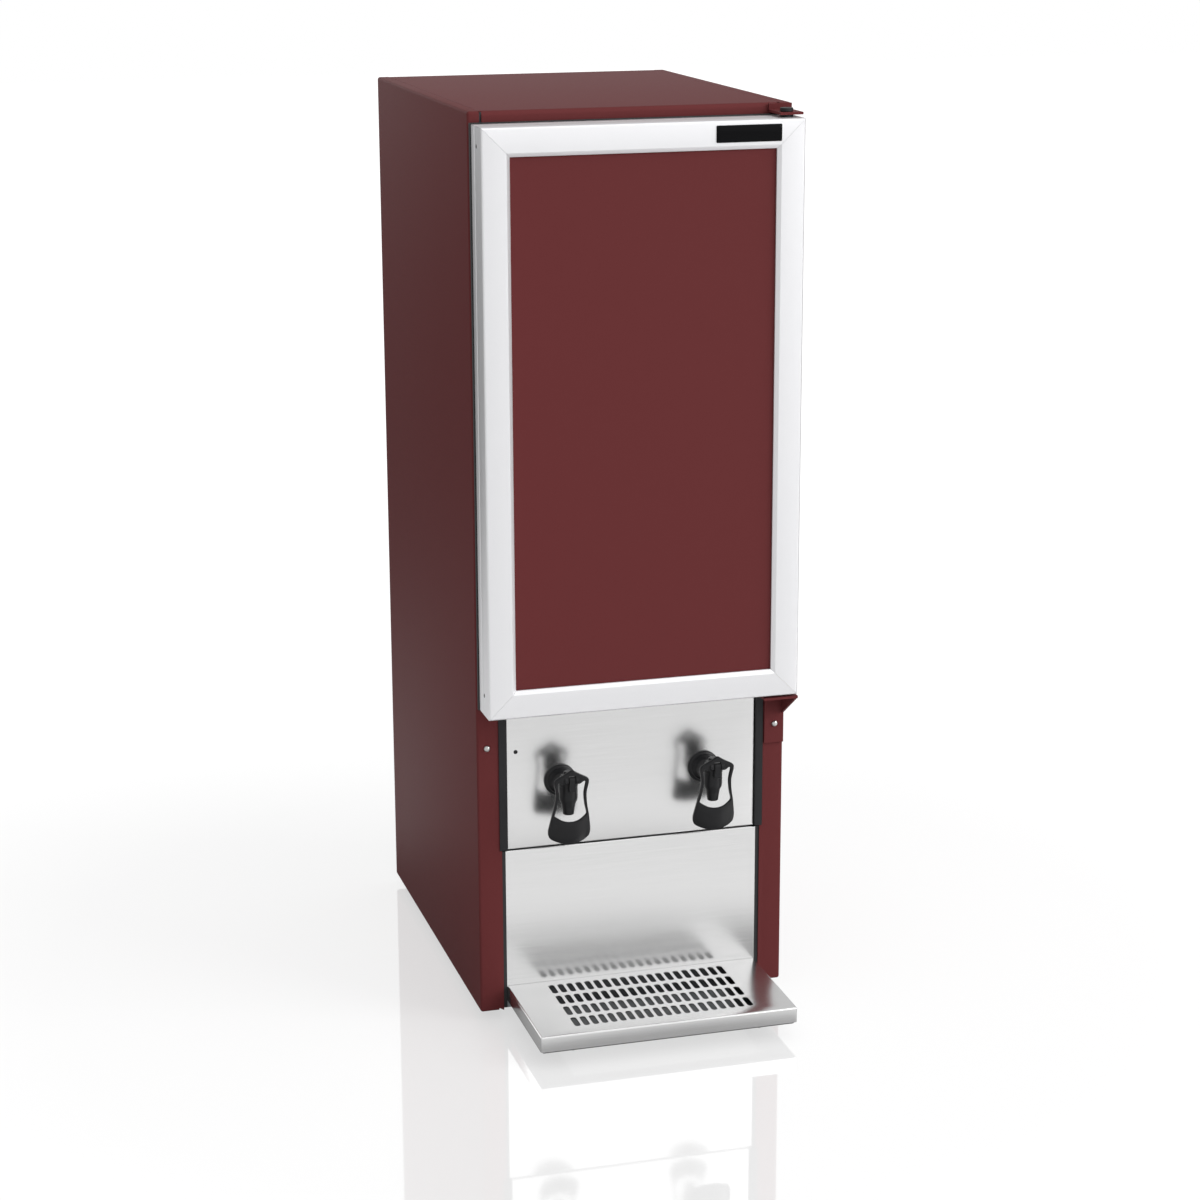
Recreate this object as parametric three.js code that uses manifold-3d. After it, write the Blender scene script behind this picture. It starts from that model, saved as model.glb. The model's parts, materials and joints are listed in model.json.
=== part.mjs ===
// A tall refrigerated wine dispenser: an insulated cabinet with a hinged door over two push-lever
// taps, a splash panel and a drip tray. Millimetres, +Z up, the front faces -Y.
// Heights are measured from the bottom edge of the side panels and depths from their front flanges,
// until the whole is moved to stand on z = 0 with its outline centred on the origin.
import * as THREE from "three";
import { mergeVertices } from "three/addons/utils/BufferGeometryUtils.js";
import Module from "manifold-3d";

// Clearances and the fineness of round shapes
const FIT = 0.3; // gap kept between pieces that seat on each other
const RUNNING = 0.5; // gap round pieces that turn or slide
const OVERRUN = 5; // how far a cutting shape passes its work
const WELD = 0.001; // corners nearer than this are one corner
const FINE_SIDES = 32;
const ROUND_SIDES = 24;
const SMALL_SIDES = 12;
const SLOT_STEPS = 2; // straight steps in a slot's round end

// Cabinet shell of folded painted sheet
const CABINET_WIDTH = 330;
const CABINET_DEPTH = 429;
const BODY_HEIGHT = 932;
const SHEET = 1;
const FRONT_FLANGE = 25; // fold round the front edge of a side panel
const EDGE_FOLD = 12; // folds along the top and rear edges of a side panel
const BOTTOM_FOLD = 20;
const TOP_LIP = 20; // fold down the front and rear of the top panel
const LIP_END_GAP = 2;
const MACHINE_HEIGHT = 310; // height of the machine space under the foam
const REAR_FIT = 0.3; // gap on each side of the rear panels

// Feet
const FOOT_HEIGHT = 10;
const FOOT_RADIUS = 13;
const FOOT_TOE_RADIUS = 10;
const FOOT_INSET_X = 17;
const FOOT_INSET_Y = 34;

// Cold space: liner and foam
const SIDE_WALL = 36; // cabinet side to the inside of the liner
const REAR_WALL = 42;
const CEILING = 36;
const CAVITY_FLOOR = 358;
const LINER = 1.5;
const TAP_BLOCK_DEPTH = 75; // foam behind the tap panel
const HOSE_WAY_RADIUS = 14; // bore for a hose through the foam
const LINER_HOLE_RADIUS = 6.5;

// Shelf and the ribs that carry it
const SHELF_HEIGHT = 620;
const SHELF_RIM_RADIUS = 3;
const SHELF_WIRE_RADIUS = 2;
const SHELF_WIRE_PITCH = 20;
const SHELF_FRONT_GAP = 14;
const SHELF_SIDE_GAP = 1;
const RIB_DEPTH = 6;
const RIB_HEIGHT = 5;

// Front panels
const PANEL_SETBACK = 1.6;
const TAP_PANEL_BOTTOM = 177;
const TAP_PANEL_TOP = 337;
const TAP_PANEL_RETURN = 11;
const SPLASH_BOTTOM = 25;
const SEAM = 1.6; // open line between the two front panels
const SPLASH_GAP = 4; // dark gap beside the splash panel
const SPLASH_RETURN = 9;
const TRIM_GAP = 6; // space that a trim strip fills beside the tap panel
const TRIM_LAP = 2.5; // how far a trim strip laps over the flange
const TRIM_CAP = 1;
const TRIM_DEPTH = 13;

// Base pan and tray support
const PAN_UPTURN = 34;
const SUPPORT_HALF_WIDTH = 100;
const SUPPORT_SHEET = 1.5;
const SUPPORT_REACH = 125;
const SUPPORT_TAIL = 60;

// Drip tray and its grille
const TRAY_FRONT = 137; // how far the tray stands out in front of the flanges
const TRAY_BOTTOM = 7.2;
const TRAY_TOP = 26;
const TRAY_SHEET = 1;
const GRILLE_SHEET = 1.2;
const GRILLE_LIP = 16.3;
const SLOT_COLUMNS = 20;
const SLOT_ROWS = 4;
const SLOT_PITCH_X = 9.7;
const SLOT_PITCH_Y = 29;
const SLOT_WIDTH = 6.4;
const SLOT_LENGTH = 22.5;
const SLOT_REAR_INSET = 22; // splash panel to the middle of the rear row

// Door
const DOOR_SIDE_GAP = 2; // door edge to cabinet side
const DOOR_BOTTOM = 333.5;
const DOOR_TOP_GAP = 11.5;
const DOOR_GAP = 7.3;
const DOOR_THICKNESS = 41;
const FRAME_FACE = 24.5; // flat front face of the frame
const FRAME_LIP = 4; // bevelled lip round the inset panel
const FRAME_LIP_DROP = 3;
const FRAME_LIP_EDGE = 2;
const FRAME_WALL = 1.8;
const FRAME_BACK = 14;
const MITRE_GAP = 0.4;
const PANEL_SHEET = 1;
const GASKET_INSET = 9; // door edge to gasket at the sides
const GASKET_END_INSET = 5; // door edge to gasket above and below
const GASKET_WIDTH = 14;
const PLATE_WIDTH = 65.6;
const PLATE_HEIGHT = 15.2;
const PLATE_THICKNESS = 1.2;
const PLATE_RIGHT_INSET = 25.4;
const PLATE_TOP_INSET = 5.3;

// Hinges and the screws on the flanges
const PIN_INSET_X = 13; // door edge to the hinge axis
const PIN_INSET_Y = 20.7; // door back to the hinge axis
const PIN_RADIUS = 4;
const PIN_HEAD_RADIUS = 6.5;
const PIN_HEAD = 3.5;
const PIN_DEPTH = 14;
const PIN_WAY_RADIUS = 6;
const HINGE_GAP = 2.5; // door to hinge plate
const HINGE_PLATE = 2.5;
const HINGE_WIDTH = 36.5;
const HINGE_SIDE_INSET = 0.5;
const LOWER_HINGE_REACH = 46;
const LOWER_LEAF_WIDTH = 21;
const LOWER_LEAF_DROP = 63;
const GUSSET_DROP = 30;
const GUSSET_REACH = 42;
const UPPER_HINGE_REACH = 37;
const UPPER_HINGE_WIDTH = 24;
const UPPER_LEAF_TOP_GAP = 0.5;
const UPPER_SLOT_WIDTH = 12;
const UPPER_SLOT_DEPTH = 5;
const UPPER_SLOT_Y = 12;
const SCREW_INSET = 10.5; // cabinet side to a flange screw
const SCREW_HEIGHT = 289;
const SCREW_HEAD_RADIUS = 3.4;
const SCREW_HEAD = 2.4;
const SCREW_CROWN_SHARE = 0.7;
const SCREW_RADIUS = 2;
const SCREW_LENGTH = 8;
const SCREW_WAY_RADIUS = 4;

// Taps
const TAP_SPACING = 155;
const TAP_HEIGHT = 248;
const TAP_REACH = 32; // flanges to the spout's axis
const COLLAR_RADIUS = 17;
const COLLAR_THICKNESS = 5;
const COLLAR_CHAMFER = 2;
const BARREL_RADIUS = 9.5;
const SHANK_RADIUS = 7;
const SHANK_END = 14;
const BARB_RADIUS = 4.5;
const BARB_END = 26;
const TAP_BORE_RADIUS = 3;
const TAP_BODY_RADIUS = 10;
const TAP_BODY_TOP = 10;
const TAP_BODY_BOTTOM = 12;
const SPOUT_TOP_RADIUS = 9.6;
const SPOUT_TIP_RADIUS = 5.8;
const SPOUT_SHOULDER = 6;
const SPOUT_TIP = 26;
const CHAMBER_RADIUS = 6.5;
const SEAT_DEPTH = 10;
const BONNET_RADIUS = 9;
const BONNET_TOP = 14.5;
const BONNET_SKIRT_RADIUS = 6.2;
const BONNET_SKIRT_BOTTOM = 6.5;
const STEM_RADIUS = 2;
const STEM_PLUG_RADIUS = 5.2;
const STEM_PLUG = 3;
const STEM_HEAD_RADIUS = 5;
const STEM_HEAD = 2.5;
const SPRING_RADIUS = 4.2;
const SPRING_WIRE_RADIUS = 0.5;
const SPRING_TURNS = 5;
const SPRING_TURN_STEPS = 8;
const SPRING_WIRE_SIDES = 5;

// Tap lever: a loop that hangs from a pivot in front of the tap
const PIVOT_REACH = 13; // spout's axis to the pivot
const PIVOT_HEIGHT = 14;
const PIVOT_PIN_RADIUS = 1.5;
const LUG_HALF_WIDTH = 3;
const LUG_RADIUS = 4;
const LUG_FOOT = 2;
const LEVER_HALF_WIDTH = 22.4;
const LEVER_LENGTH = 70.5;
const LEVER_THICKNESS = 4;
const LEVER_RAKE = (9 * Math.PI) / 180; // the loop hangs back under the spout
const CHEEK_WIDTH = 4.5;
const CHEEK_RADIUS = 4;
const TINE_LENGTH = 14;
const TINE_NEAR = 3;
const TINE_FAR = 7.5;
const TINE_THICKNESS = 2;
const LEVER_SWING_GAP = 2; // keeps the arch off the lug when the lever is pushed
const PADDLE_BOW_RADIUS = 40;
const PADDLE_BULGE = 6.8;
const PADDLE_THICKNESS = 3;
const PADDLE_JOIN = 38; // where the bowed paddle takes over from the flat arms
const PADDLE_STEPS = 12;
const LEVER_OUTER_SHARES = [
  [0.058, 0.163], [0.223, 0.128], [0.411, 0.091], [0.696, 0.041], [0.799, 0.011], [0.826, -0.028],
  [0.799, -0.078], [0.754, -0.142], [0.723, -0.237], [0.772, -0.4], [0.875, -0.563], [0.96, -0.723],
  [1, -0.816], [0.991, -0.872], [0.92, -0.922], [0.714, -0.955], [0.402, -0.984], [0.134, -1],
];
const LEVER_INNER_SHARES = [
  [0.379, -0.057], [0.5, -0.026], [0.589, -0.013], [0.647, -0.034], [0.647, -0.071], [0.612, -0.142],
  [0.589, -0.237], [0.652, -0.4], [0.746, -0.532], [0.696, -0.567], [0.379, -0.617], [0.134, -0.635],
];

// Wine hoses and the sockets for the bags
const HOSE_RADIUS = 6.5;
const HOSE_BORE_RADIUS = 4.9;
const HOSE_BEND = 17;
const HOSE_RISE_Y = 45; // flanges to the rising part of a hose
const HOSE_STEPS = 16;
const CONNECTOR_RADIUS = 13;
const CONNECTOR_HEIGHT = 28;
const CONNECTOR_SOCKET_RADIUS = 10;
const CONNECTOR_FLOOR = 6;
const CONNECTOR_BARB = 14;

// Cooling at the back of the cold space
const COVER_SIDE_GAP = 9; // liner to cover
const COVER_WALL = 2;
const COVER_DEPTH = 42;
const COVER_HEIGHT = 215;
const COLD_FAN_DROP = 56; // ceiling to the fan's axis
const COLD_FAN_RADIUS = 40;
const COLD_FAN_HUB_RADIUS = 12;
const COLD_FAN_HUB = 10;
const COLD_FAN_GAP = 8; // cover front to the hub
const FAN_HOLE_RADIUS = 46;
const GUARD_BAR = 4;
const GUARD_RING_RADIUS = 28;
const COLD_MOTOR_RADIUS = 16;
const COLD_MOTOR_LENGTH = 20;
const COLD_SHAFT_RADIUS = 2.5;
const EVAPORATOR_SIDE_GAP = 20; // cover to fins
const EVAPORATOR_HEIGHT = 90;
const EVAPORATOR_DEPTH = 32;
const EVAPORATOR_LIFT = 12; // cover's lower edge to the fins
const EVAPORATOR_FINS = 20;
const FIN_SHARE = 0.35; // a fin's share of its pitch
const FIN_ROOT_SHARE = 0.35; // the solid back's share of a fin block's depth
const KNOB_RADIUS = 14;
const KNOB_HEIGHT = 13;
const KNOB_GRIP = 4;
const KNOB_INSET = 38; // cover side to the knob's axis
const KNOB_LIFT = 50; // cover's lower edge to the knob's axis
const SPINDLE_RADIUS = 3;
const SPINDLE_LENGTH = 9;

// Machine space
const COMPRESSOR_SIDE_GAP = 24; // cabinet side to its base
const COMPRESSOR_REAR_GAP = 108; // rear panels to its base
const COMPRESSOR_RADIUS = 64;
const COMPRESSOR_HEIGHT = 165;
const POT_FOOT_SHARE = 0.8;
const POT_SHOULDER_SHARE = 0.82;
const POT_CROWN_SHARE = 0.38;
const COMPRESSOR_BASE = 3;
const COMPRESSOR_BASE_HALF = 68;
const COMPRESSOR_MOUNT_RADIUS = 9;
const COMPRESSOR_MOUNT = 7;
const CONDENSER_WIDTH = 136;
const CONDENSER_SIDE_GAP = 8;
const CONDENSER_DEPTH = 30;
const CONDENSER_HEIGHT = 200;
const CONDENSER_REAR_GAP = 8;
const CONDENSER_FINS = 16;
const WARM_FAN_HEIGHT = 106;
const WARM_FAN_RADIUS = 58;
const WARM_FAN_HUB_RADIUS = 16;
const WARM_FAN_HUB = 14;
const WARM_FAN_GAP = 9; // condenser to the hub
const WARM_MOTOR_RADIUS = 22;
const WARM_MOTOR_LENGTH = 32;
const WARM_SHAFT_RADIUS = 3;
const MOTOR_FOOT_WIDTH = 26;
const MOTOR_FOOT_DEPTH = 16;
const FAN_BLADES = 5;
const BLADE_THICKNESS = 1.6;
const BLADE_CHORD_SHARE = 0.62; // of the fan's radius
const BLADE_PITCH = (26 * Math.PI) / 180;
const BLADE_ROOT_SHARE = 0.8; // of the hub's radius
const DRIP_PAN_GAP = 20; // compressor base to the pan
const DRIP_PAN_SIDE_GAP = 14;
const DRIP_PAN_FRONT = 110;
const DRIP_PAN_REAR = 230;
const DRIP_PAN_HEIGHT = 38;
const DRIP_PAN_WALL = 2;
const BOX_SIDE_GAP = 22;
const BOX_HALF_WIDTH = 42;
const BOX_BOTTOM = 28;
const BOX_HEIGHT = 76;
const BOX_DEPTH = 46;
const INLET_HALF_WIDTH = 13.5;
const INLET_HALF_HEIGHT = 10;
const INLET_FLANGE = 3.5;
const SOCKET_HALF_WIDTH = 11.5;
const SOCKET_HALF_HEIGHT = 7.5;
const SOCKET_DEPTH = 18;
const INLET_PIN_WIDTH = 2;
const INLET_PIN_HEIGHT = 4;
const INLET_PIN_LENGTH = 9;
const INLET_PIN_PITCH = 7;
const LOUVRE_SIDE_INSET = 14;
const LOUVRE_MIDDLE_GAP = 48; // plain strip between the two columns of louvres
const LOUVRE_HEIGHT = 6;
const LOUVRE_PITCH = 14;
const LOUVRE_FIRST = 134;
const LOUVRE_ROWS = 9;

// Places worked out from the sizes above
const halfWidth = CABINET_WIDTH / 2;
const sideInner = halfWidth - SHEET;
const flangeInner = halfWidth - FRONT_FLANGE;
const rearOuter = CABINET_DEPTH - SHEET - REAR_FIT;
const rearInner = rearOuter - SHEET;
const foamRear = rearInner - REAR_FIT;
const foamFront = LINER + FIT;
const foamTop = BODY_HEIGHT - SHEET - FIT;
const cavityHalf = halfWidth - SIDE_WALL;
const cavityBack = CABINET_DEPTH - REAR_WALL;
const cavityTop = BODY_HEIGHT - CEILING;
const tapPanelHalf = flangeInner - TRIM_GAP;
const splashHalf = flangeInner - SPLASH_GAP;
const panelBack = PANEL_SETBACK + SHEET;
const baseTop = 2 * SHEET + FIT;
const standing = baseTop + FIT; // underside of what stands on the base pan
const ribTop = SHELF_HEIGHT - SHELF_RIM_RADIUS - FIT;
const doorHalf = halfWidth - DOOR_SIDE_GAP;
const doorTop = BODY_HEIGHT - DOOR_TOP_GAP;
const doorBack = -DOOR_GAP;
const doorFront = doorBack - DOOR_THICKNESS;
const pinX = doorHalf - PIN_INSET_X;
const pinY = doorBack - PIN_INSET_Y;
const lowerPlate = [DOOR_BOTTOM - HINGE_GAP - HINGE_PLATE, DOOR_BOTTOM - HINGE_GAP];
const upperPlate = [doorTop + HINGE_GAP, doorTop + HINGE_GAP + HINGE_PLATE];
const tapAxisY = -TAP_REACH;
const pivotY = tapAxisY - PIVOT_REACH;
const collarBack = PANEL_SETBACK - FIT;
const collarFront = collarBack - COLLAR_THICKNESS;
const coverHalf = cavityHalf - COVER_SIDE_GAP;
const knobX = KNOB_INSET - coverHalf;
const coverFront = cavityBack - COVER_DEPTH;
const coverTop = cavityTop - FIT;
const coverBottom = coverTop - COVER_HEIGHT;
const coldRear = cavityBack - FIT; // rear face of what hangs on the liner's back
const coldFanZ = cavityTop - COLD_FAN_DROP;
const condenserRear = foamRear - CONDENSER_REAR_GAP;
const condenserFront = condenserRear - CONDENSER_DEPTH;
const compressorX = COMPRESSOR_BASE_HALF + COMPRESSOR_SIDE_GAP - sideInner;
const compressorY = foamRear - COMPRESSOR_REAR_GAP - COMPRESSOR_BASE_HALF;
const condenserRight = sideInner - CONDENSER_SIDE_GAP;
const condenserLeft = condenserRight - CONDENSER_WIDTH;
const warmFanX = (condenserLeft + condenserRight) / 2;
const dripPanLeft = compressorX + COMPRESSOR_BASE_HALF + DRIP_PAN_GAP;
const dripPanRight = sideInner - DRIP_PAN_SIDE_GAP;
const boxX = BOX_SIDE_GAP + BOX_HALF_WIDTH - sideInner;

const wasm = await Module();
wasm.setup();

const AXES = {
  x: new THREE.Vector3(1, 0, 0),
  y: new THREE.Vector3(0, 1, 0),
  z: new THREE.Vector3(0, 0, 1),
};
// Each turns a shape drawn in a plane and pushed along +Z to lie across its own axis.
const TURNS = {
  x: new THREE.Matrix4().makeBasis(AXES.y, AXES.z, AXES.x),
  y: new THREE.Matrix4().makeBasis(AXES.x, AXES.z, AXES.y.clone().negate()),
  z: new THREE.Matrix4(),
};

// A closed geometry as a solid that can be joined and cut
function solidOf(geometry) {
  const bare = geometry.clone();
  bare.deleteAttribute("normal");
  bare.deleteAttribute("uv");
  const merged = mergeVertices(bare, WELD);
  return new wasm.Manifold(
    new wasm.Mesh({
      numProp: 3,
      vertProperties: new Float32Array(merged.attributes.position.array),
      triVerts: new Uint32Array(merged.index.array),
    }),
  );
}

function geometryOf(solid) {
  const mesh = solid.getMesh();
  const geometry = new THREE.BufferGeometry();
  geometry.setAttribute("position", new THREE.BufferAttribute(mesh.vertProperties, 3));
  geometry.setIndex(new THREE.BufferAttribute(mesh.triVerts, 1));
  geometry.computeVertexNormals();
  return geometry;
}

function join(...shapes) {
  return geometryOf(shapes.map(solidOf).reduce((whole, next) => whole.add(next)));
}

function cut(work, ...tools) {
  return geometryOf(tools.map(solidOf).reduce((left, tool) => left.subtract(tool), solidOf(work)));
}

function common(first, second) {
  return geometryOf(solidOf(first).intersect(solidOf(second)));
}

// A range across the middle, and the range from near to far on one side of it
const across = (half) => [-half, half];
const onSide = (side, near, far) => (side < 0 ? [-far, -near] : [near, far]);
const middle = ([low, high]) => (low + high) / 2;

function block(xs, ys, zs) {
  const box = new THREE.BoxGeometry(xs[1] - xs[0], ys[1] - ys[0], zs[1] - zs[0]);
  return box.translate(middle(xs), middle(ys), middle(zs));
}

// An outline pushed along an axis. It is drawn as (y, z) for x, as (x, z) for y and as (x, y) for z.
function prism(axis, outline, [from, to], holes = []) {
  const points = (list) => list.map(([a, b]) => new THREE.Vector2(a, b));
  const shape = new THREE.Shape(points(outline));
  shape.holes = holes.map((hole) => new THREE.Path(points(hole)));
  const solid = new THREE.ExtrudeGeometry(shape, { depth: to - from, bevelEnabled: false });
  solid.applyMatrix4(TURNS[axis]);
  const start = axis === "y" ? to : from;
  return solid.translate(...AXES[axis].clone().multiplyScalar(start).toArray());
}

// A round bar along an axis, tapered where a second radius is given for its far end
function bar(axis, radius, [from, to], [x, y, z] = [0, 0, 0], sides = ROUND_SIDES, farRadius = radius) {
  const solid = new THREE.CylinderGeometry(farRadius, radius, to - from, sides);
  if (axis === "x") solid.rotateZ(-Math.PI / 2);
  if (axis === "z") solid.rotateX(Math.PI / 2);
  const along = AXES[axis].clone().multiplyScalar((from + to) / 2);
  return solid.translate(x + along.x, y + along.y, z + along.z);
}

// A profile of radii and heights, turned about the Z axis
function turned(profile, sides = ROUND_SIDES) {
  const points = profile.map(([radius, height]) => new THREE.Vector2(radius, height));
  return new THREE.LatheGeometry(points, sides).rotateX(Math.PI / 2);
}

// The outline of a slot with round ends, long along Y
function slotOutline(x, y, width, length) {
  const radius = width / 2;
  const reach = length / 2 - radius;
  const end = (sign) =>
    Array.from({ length: SLOT_STEPS + 1 }, (_, i) => {
      const angle = (sign > 0 ? 0 : Math.PI) + (Math.PI * i) / SLOT_STEPS;
      return [x + radius * Math.cos(angle), y + sign * reach + radius * Math.sin(angle)];
    });
  return [...end(1), ...end(-1)];
}

// An even row of a given count about a middle place
const evenly = (count, pitch, centre) =>
  Array.from({ length: count }, (_, i) => centre + (i - (count - 1) / 2) * pitch);

const PAINT = { color: 0x5e3134, roughness: 0.5, metalness: 0.1 };
const STEEL = { color: 0xd2d2d0, roughness: 0.35, metalness: 0.9 };
const ALUMINIUM = { color: 0xe6e6e8, roughness: 0.4, metalness: 0.8 };
const ZINC = { color: 0xb4b6b8, roughness: 0.5, metalness: 0.8 };
const BLACK = { color: 0x1e1e20, roughness: 0.45, metalness: 0 };
const WHITE = { color: 0xe8e8e4, roughness: 0.5, metalness: 0 };
const FOAM = { color: 0xd9c48c, roughness: 0.95, metalness: 0 };
const RUBBER = { color: 0x2c2c2e, roughness: 0.85, metalness: 0 };
const CLEAR = { color: 0xc9d4d0, roughness: 0.25, metalness: 0 };
const ENAMEL = { color: 0x202124, roughness: 0.4, metalness: 0.3 };

function piece(parent, name, geometry, look, place = [0, 0, 0]) {
  const mesh = new THREE.Mesh(geometry, new THREE.MeshStandardMaterial(look));
  mesh.name = name;
  mesh.position.set(...place);
  parent.add(mesh);
}

// Cabinet shell
function sidePanel(side) {
  const out = (near) => onSide(side, near, halfWidth);
  const flangeTop = BODY_HEIGHT - TOP_LIP - FIT;
  const rear = [CABINET_DEPTH - SHEET, CABINET_DEPTH];
  const folded = join(
    block(out(sideInner), [0, CABINET_DEPTH], [0, BODY_HEIGHT]),
    block(out(flangeInner), [0, SHEET], [0, flangeTop]),
    block(out(halfWidth - EDGE_FOLD), [0, SHEET], [0, BODY_HEIGHT]),
    block(out(halfWidth - EDGE_FOLD), rear, [0, BODY_HEIGHT]),
    block(out(halfWidth - EDGE_FOLD), [0, CABINET_DEPTH], [BODY_HEIGHT - SHEET, BODY_HEIGHT]),
    block(out(halfWidth - BOTTOM_FOLD), [0, CABINET_DEPTH], [0, SHEET]),
  );
  const screwX = side * (halfWidth - SCREW_INSET);
  const way = [-OVERRUN, OVERRUN];
  return cut(folded, bar("y", SCREW_RADIUS + FIT, way, [screwX, 0, SCREW_HEIGHT], SMALL_SIDES));
}

function topPanel() {
  const half = halfWidth - EDGE_FOLD - FIT;
  const lip = [BODY_HEIGHT - TOP_LIP, BODY_HEIGHT];
  return join(
    block(across(half), [0, CABINET_DEPTH], [BODY_HEIGHT - SHEET, BODY_HEIGHT]),
    block(across(half - LIP_END_GAP), [0, SHEET], lip),
    block(across(half), [CABINET_DEPTH - SHEET, CABINET_DEPTH], lip),
  );
}

function backPanel() {
  return block(across(sideInner - FIT), [rearInner, rearOuter], [MACHINE_HEIGHT, foamTop]);
}

function rearGrille() {
  const sheet = [rearInner, rearOuter];
  const through = [rearInner - OVERRUN, rearOuter + OVERRUN];
  const louvres = evenly(LOUVRE_ROWS, LOUVRE_PITCH, LOUVRE_FIRST + (LOUVRE_ROWS / 2) * LOUVRE_PITCH)
    .flatMap((z) => [-1, 1].map((side) => [side, z]))
    .map(([side, z]) =>
      block(
        onSide(side, LOUVRE_MIDDLE_GAP / 2, sideInner - LOUVRE_SIDE_INSET),
        through,
        [z - LOUVRE_HEIGHT / 2, z + LOUVRE_HEIGHT / 2],
      ),
    );
  const inletX = [boxX - INLET_HALF_WIDTH - FIT, boxX + INLET_HALF_WIDTH + FIT];
  const inletZ = BOX_BOTTOM + BOX_HEIGHT / 2;
  const inletZs = [inletZ - INLET_HALF_HEIGHT - FIT, inletZ + INLET_HALF_HEIGHT + FIT];
  return cut(
    block(across(sideInner - FIT), sheet, [SHEET + FIT, MACHINE_HEIGHT - FIT]),
    ...louvres,
    block(inletX, through, inletZs),
  );
}

function basePan() {
  const front = panelBack + FIT;
  const bottom = SHEET + FIT;
  const upturn = block(across(sideInner - FIT), [front, front + SHEET], [bottom, PAN_UPTURN]);
  const floor = block(across(sideInner - FIT), [front, foamRear], [bottom, baseTop]);
  const notchFloor = baseTop;
  const notch = block(
    across(SUPPORT_HALF_WIDTH + FIT),
    [front - OVERRUN, front + SHEET + FIT],
    [notchFloor, TRAY_BOTTOM],
  );
  return cut(join(upturn, floor), notch);
}

function foot() {
  const top = -FIT;
  return turned(
    [[0, -FOOT_HEIGHT], [FOOT_TOE_RADIUS, -FOOT_HEIGHT], [FOOT_RADIUS, top], [0, top]],
  );
}

// Cold space
function hoseWays(bottom, top) {
  return [-1, 1].flatMap((side) => {
    const x = (side * TAP_SPACING) / 2;
    return [
      bar("y", HOSE_WAY_RADIUS, [-OVERRUN, HOSE_RISE_Y], [x, 0, TAP_HEIGHT]),
      bar("z", HOSE_WAY_RADIUS, [bottom, top], [x, HOSE_RISE_Y, 0]),
    ];
  });
}

function screwWays() {
  const x = halfWidth - SCREW_INSET;
  const depth = [-OVERRUN, SCREW_LENGTH + OVERRUN];
  return across(x).map((at) =>
    bar("y", SCREW_WAY_RADIUS, depth, [at, 0, SCREW_HEIGHT], SMALL_SIDES),
  );
}

function insulationFoam() {
  const tapHalf = tapPanelHalf - SHEET - FIT;
  const panelEnd = TAP_PANEL_TOP + FIT;
  const pocketX = across(cavityHalf + LINER + FIT);
  const pocketZ = [CAVITY_FLOOR - LINER - FIT, cavityTop + LINER + FIT];
  const shoulder = (side) =>
    block(onSide(side, tapHalf, halfWidth), [-OVERRUN, TRIM_DEPTH + FIT], [0, panelEnd]);
  return cut(
    join(
      block(across(sideInner - FIT), [foamFront, foamRear], [MACHINE_HEIGHT + FIT, foamTop]),
      block(
        across(tapHalf),
        [panelBack + FIT, TAP_BLOCK_DEPTH],
        [TAP_PANEL_BOTTOM + SHEET + FIT, MACHINE_HEIGHT + OVERRUN],
      ),
    ),
    block(pocketX, [-OVERRUN, cavityBack + LINER + FIT], pocketZ),
    block(across(tapHalf + OVERRUN), [-OVERRUN, panelBack + FIT], [0, panelEnd]),
    shoulder(-1),
    shoulder(1),
    ...hoseWays(TAP_HEIGHT, CAVITY_FLOOR),
    ...screwWays(),
  );
}

function innerLiner() {
  const outside = cavityHalf + LINER;
  const shell = join(
    block(across(outside), [0, cavityBack + LINER], [CAVITY_FLOOR - LINER, cavityTop + LINER]),
    block(across(flangeInner - FIT), [0, LINER], [TAP_PANEL_TOP + FIT, BODY_HEIGHT - TOP_LIP - FIT]),
  );
  const hollow = block(across(cavityHalf), [-OVERRUN, cavityBack], [CAVITY_FLOOR, cavityTop]);
  const holes = [-1, 1].map((side) =>
    bar(
      "z",
      LINER_HOLE_RADIUS,
      [CAVITY_FLOOR - LINER - OVERRUN, CAVITY_FLOOR + OVERRUN],
      [(side * TAP_SPACING) / 2, HOSE_RISE_Y, 0],
      SMALL_SIDES,
    ),
  );
  const ribs = [-1, 1].map((side) =>
    block(
      onSide(side, cavityHalf - RIB_DEPTH, cavityHalf + LINER),
      [SHELF_FRONT_GAP, coverFront - SHELF_FRONT_GAP],
      [ribTop - RIB_HEIGHT, ribTop],
    ),
  );
  return join(cut(shell, hollow, ...holes), ...ribs);
}

function wireShelf() {
  const x = cavityHalf - SHELF_SIDE_GAP - SHELF_RIM_RADIUS;
  const front = SHELF_FRONT_GAP + SHELF_RIM_RADIUS;
  const rear = coverFront - SHELF_FRONT_GAP - SHELF_RIM_RADIUS;
  const z = SHELF_HEIGHT;
  const ends = [front - SHELF_RIM_RADIUS, rear + SHELF_RIM_RADIUS];
  const long = (at, radius) => bar("y", radius, ends, [at, 0, z], SMALL_SIDES);
  const wide = (y) => bar("x", SHELF_RIM_RADIUS, across(x), [0, y, z], SMALL_SIDES);
  const count = Math.floor((2 * x) / SHELF_WIRE_PITCH);
  const wires = evenly(count, SHELF_WIRE_PITCH, 0)
    .map((at) => bar("y", SHELF_WIRE_RADIUS, [front, rear], [at, 0, z], SMALL_SIDES / 2));
  return join(long(-x, SHELF_RIM_RADIUS), long(x, SHELF_RIM_RADIUS), wide(front), wide(rear), ...wires);
}

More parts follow.
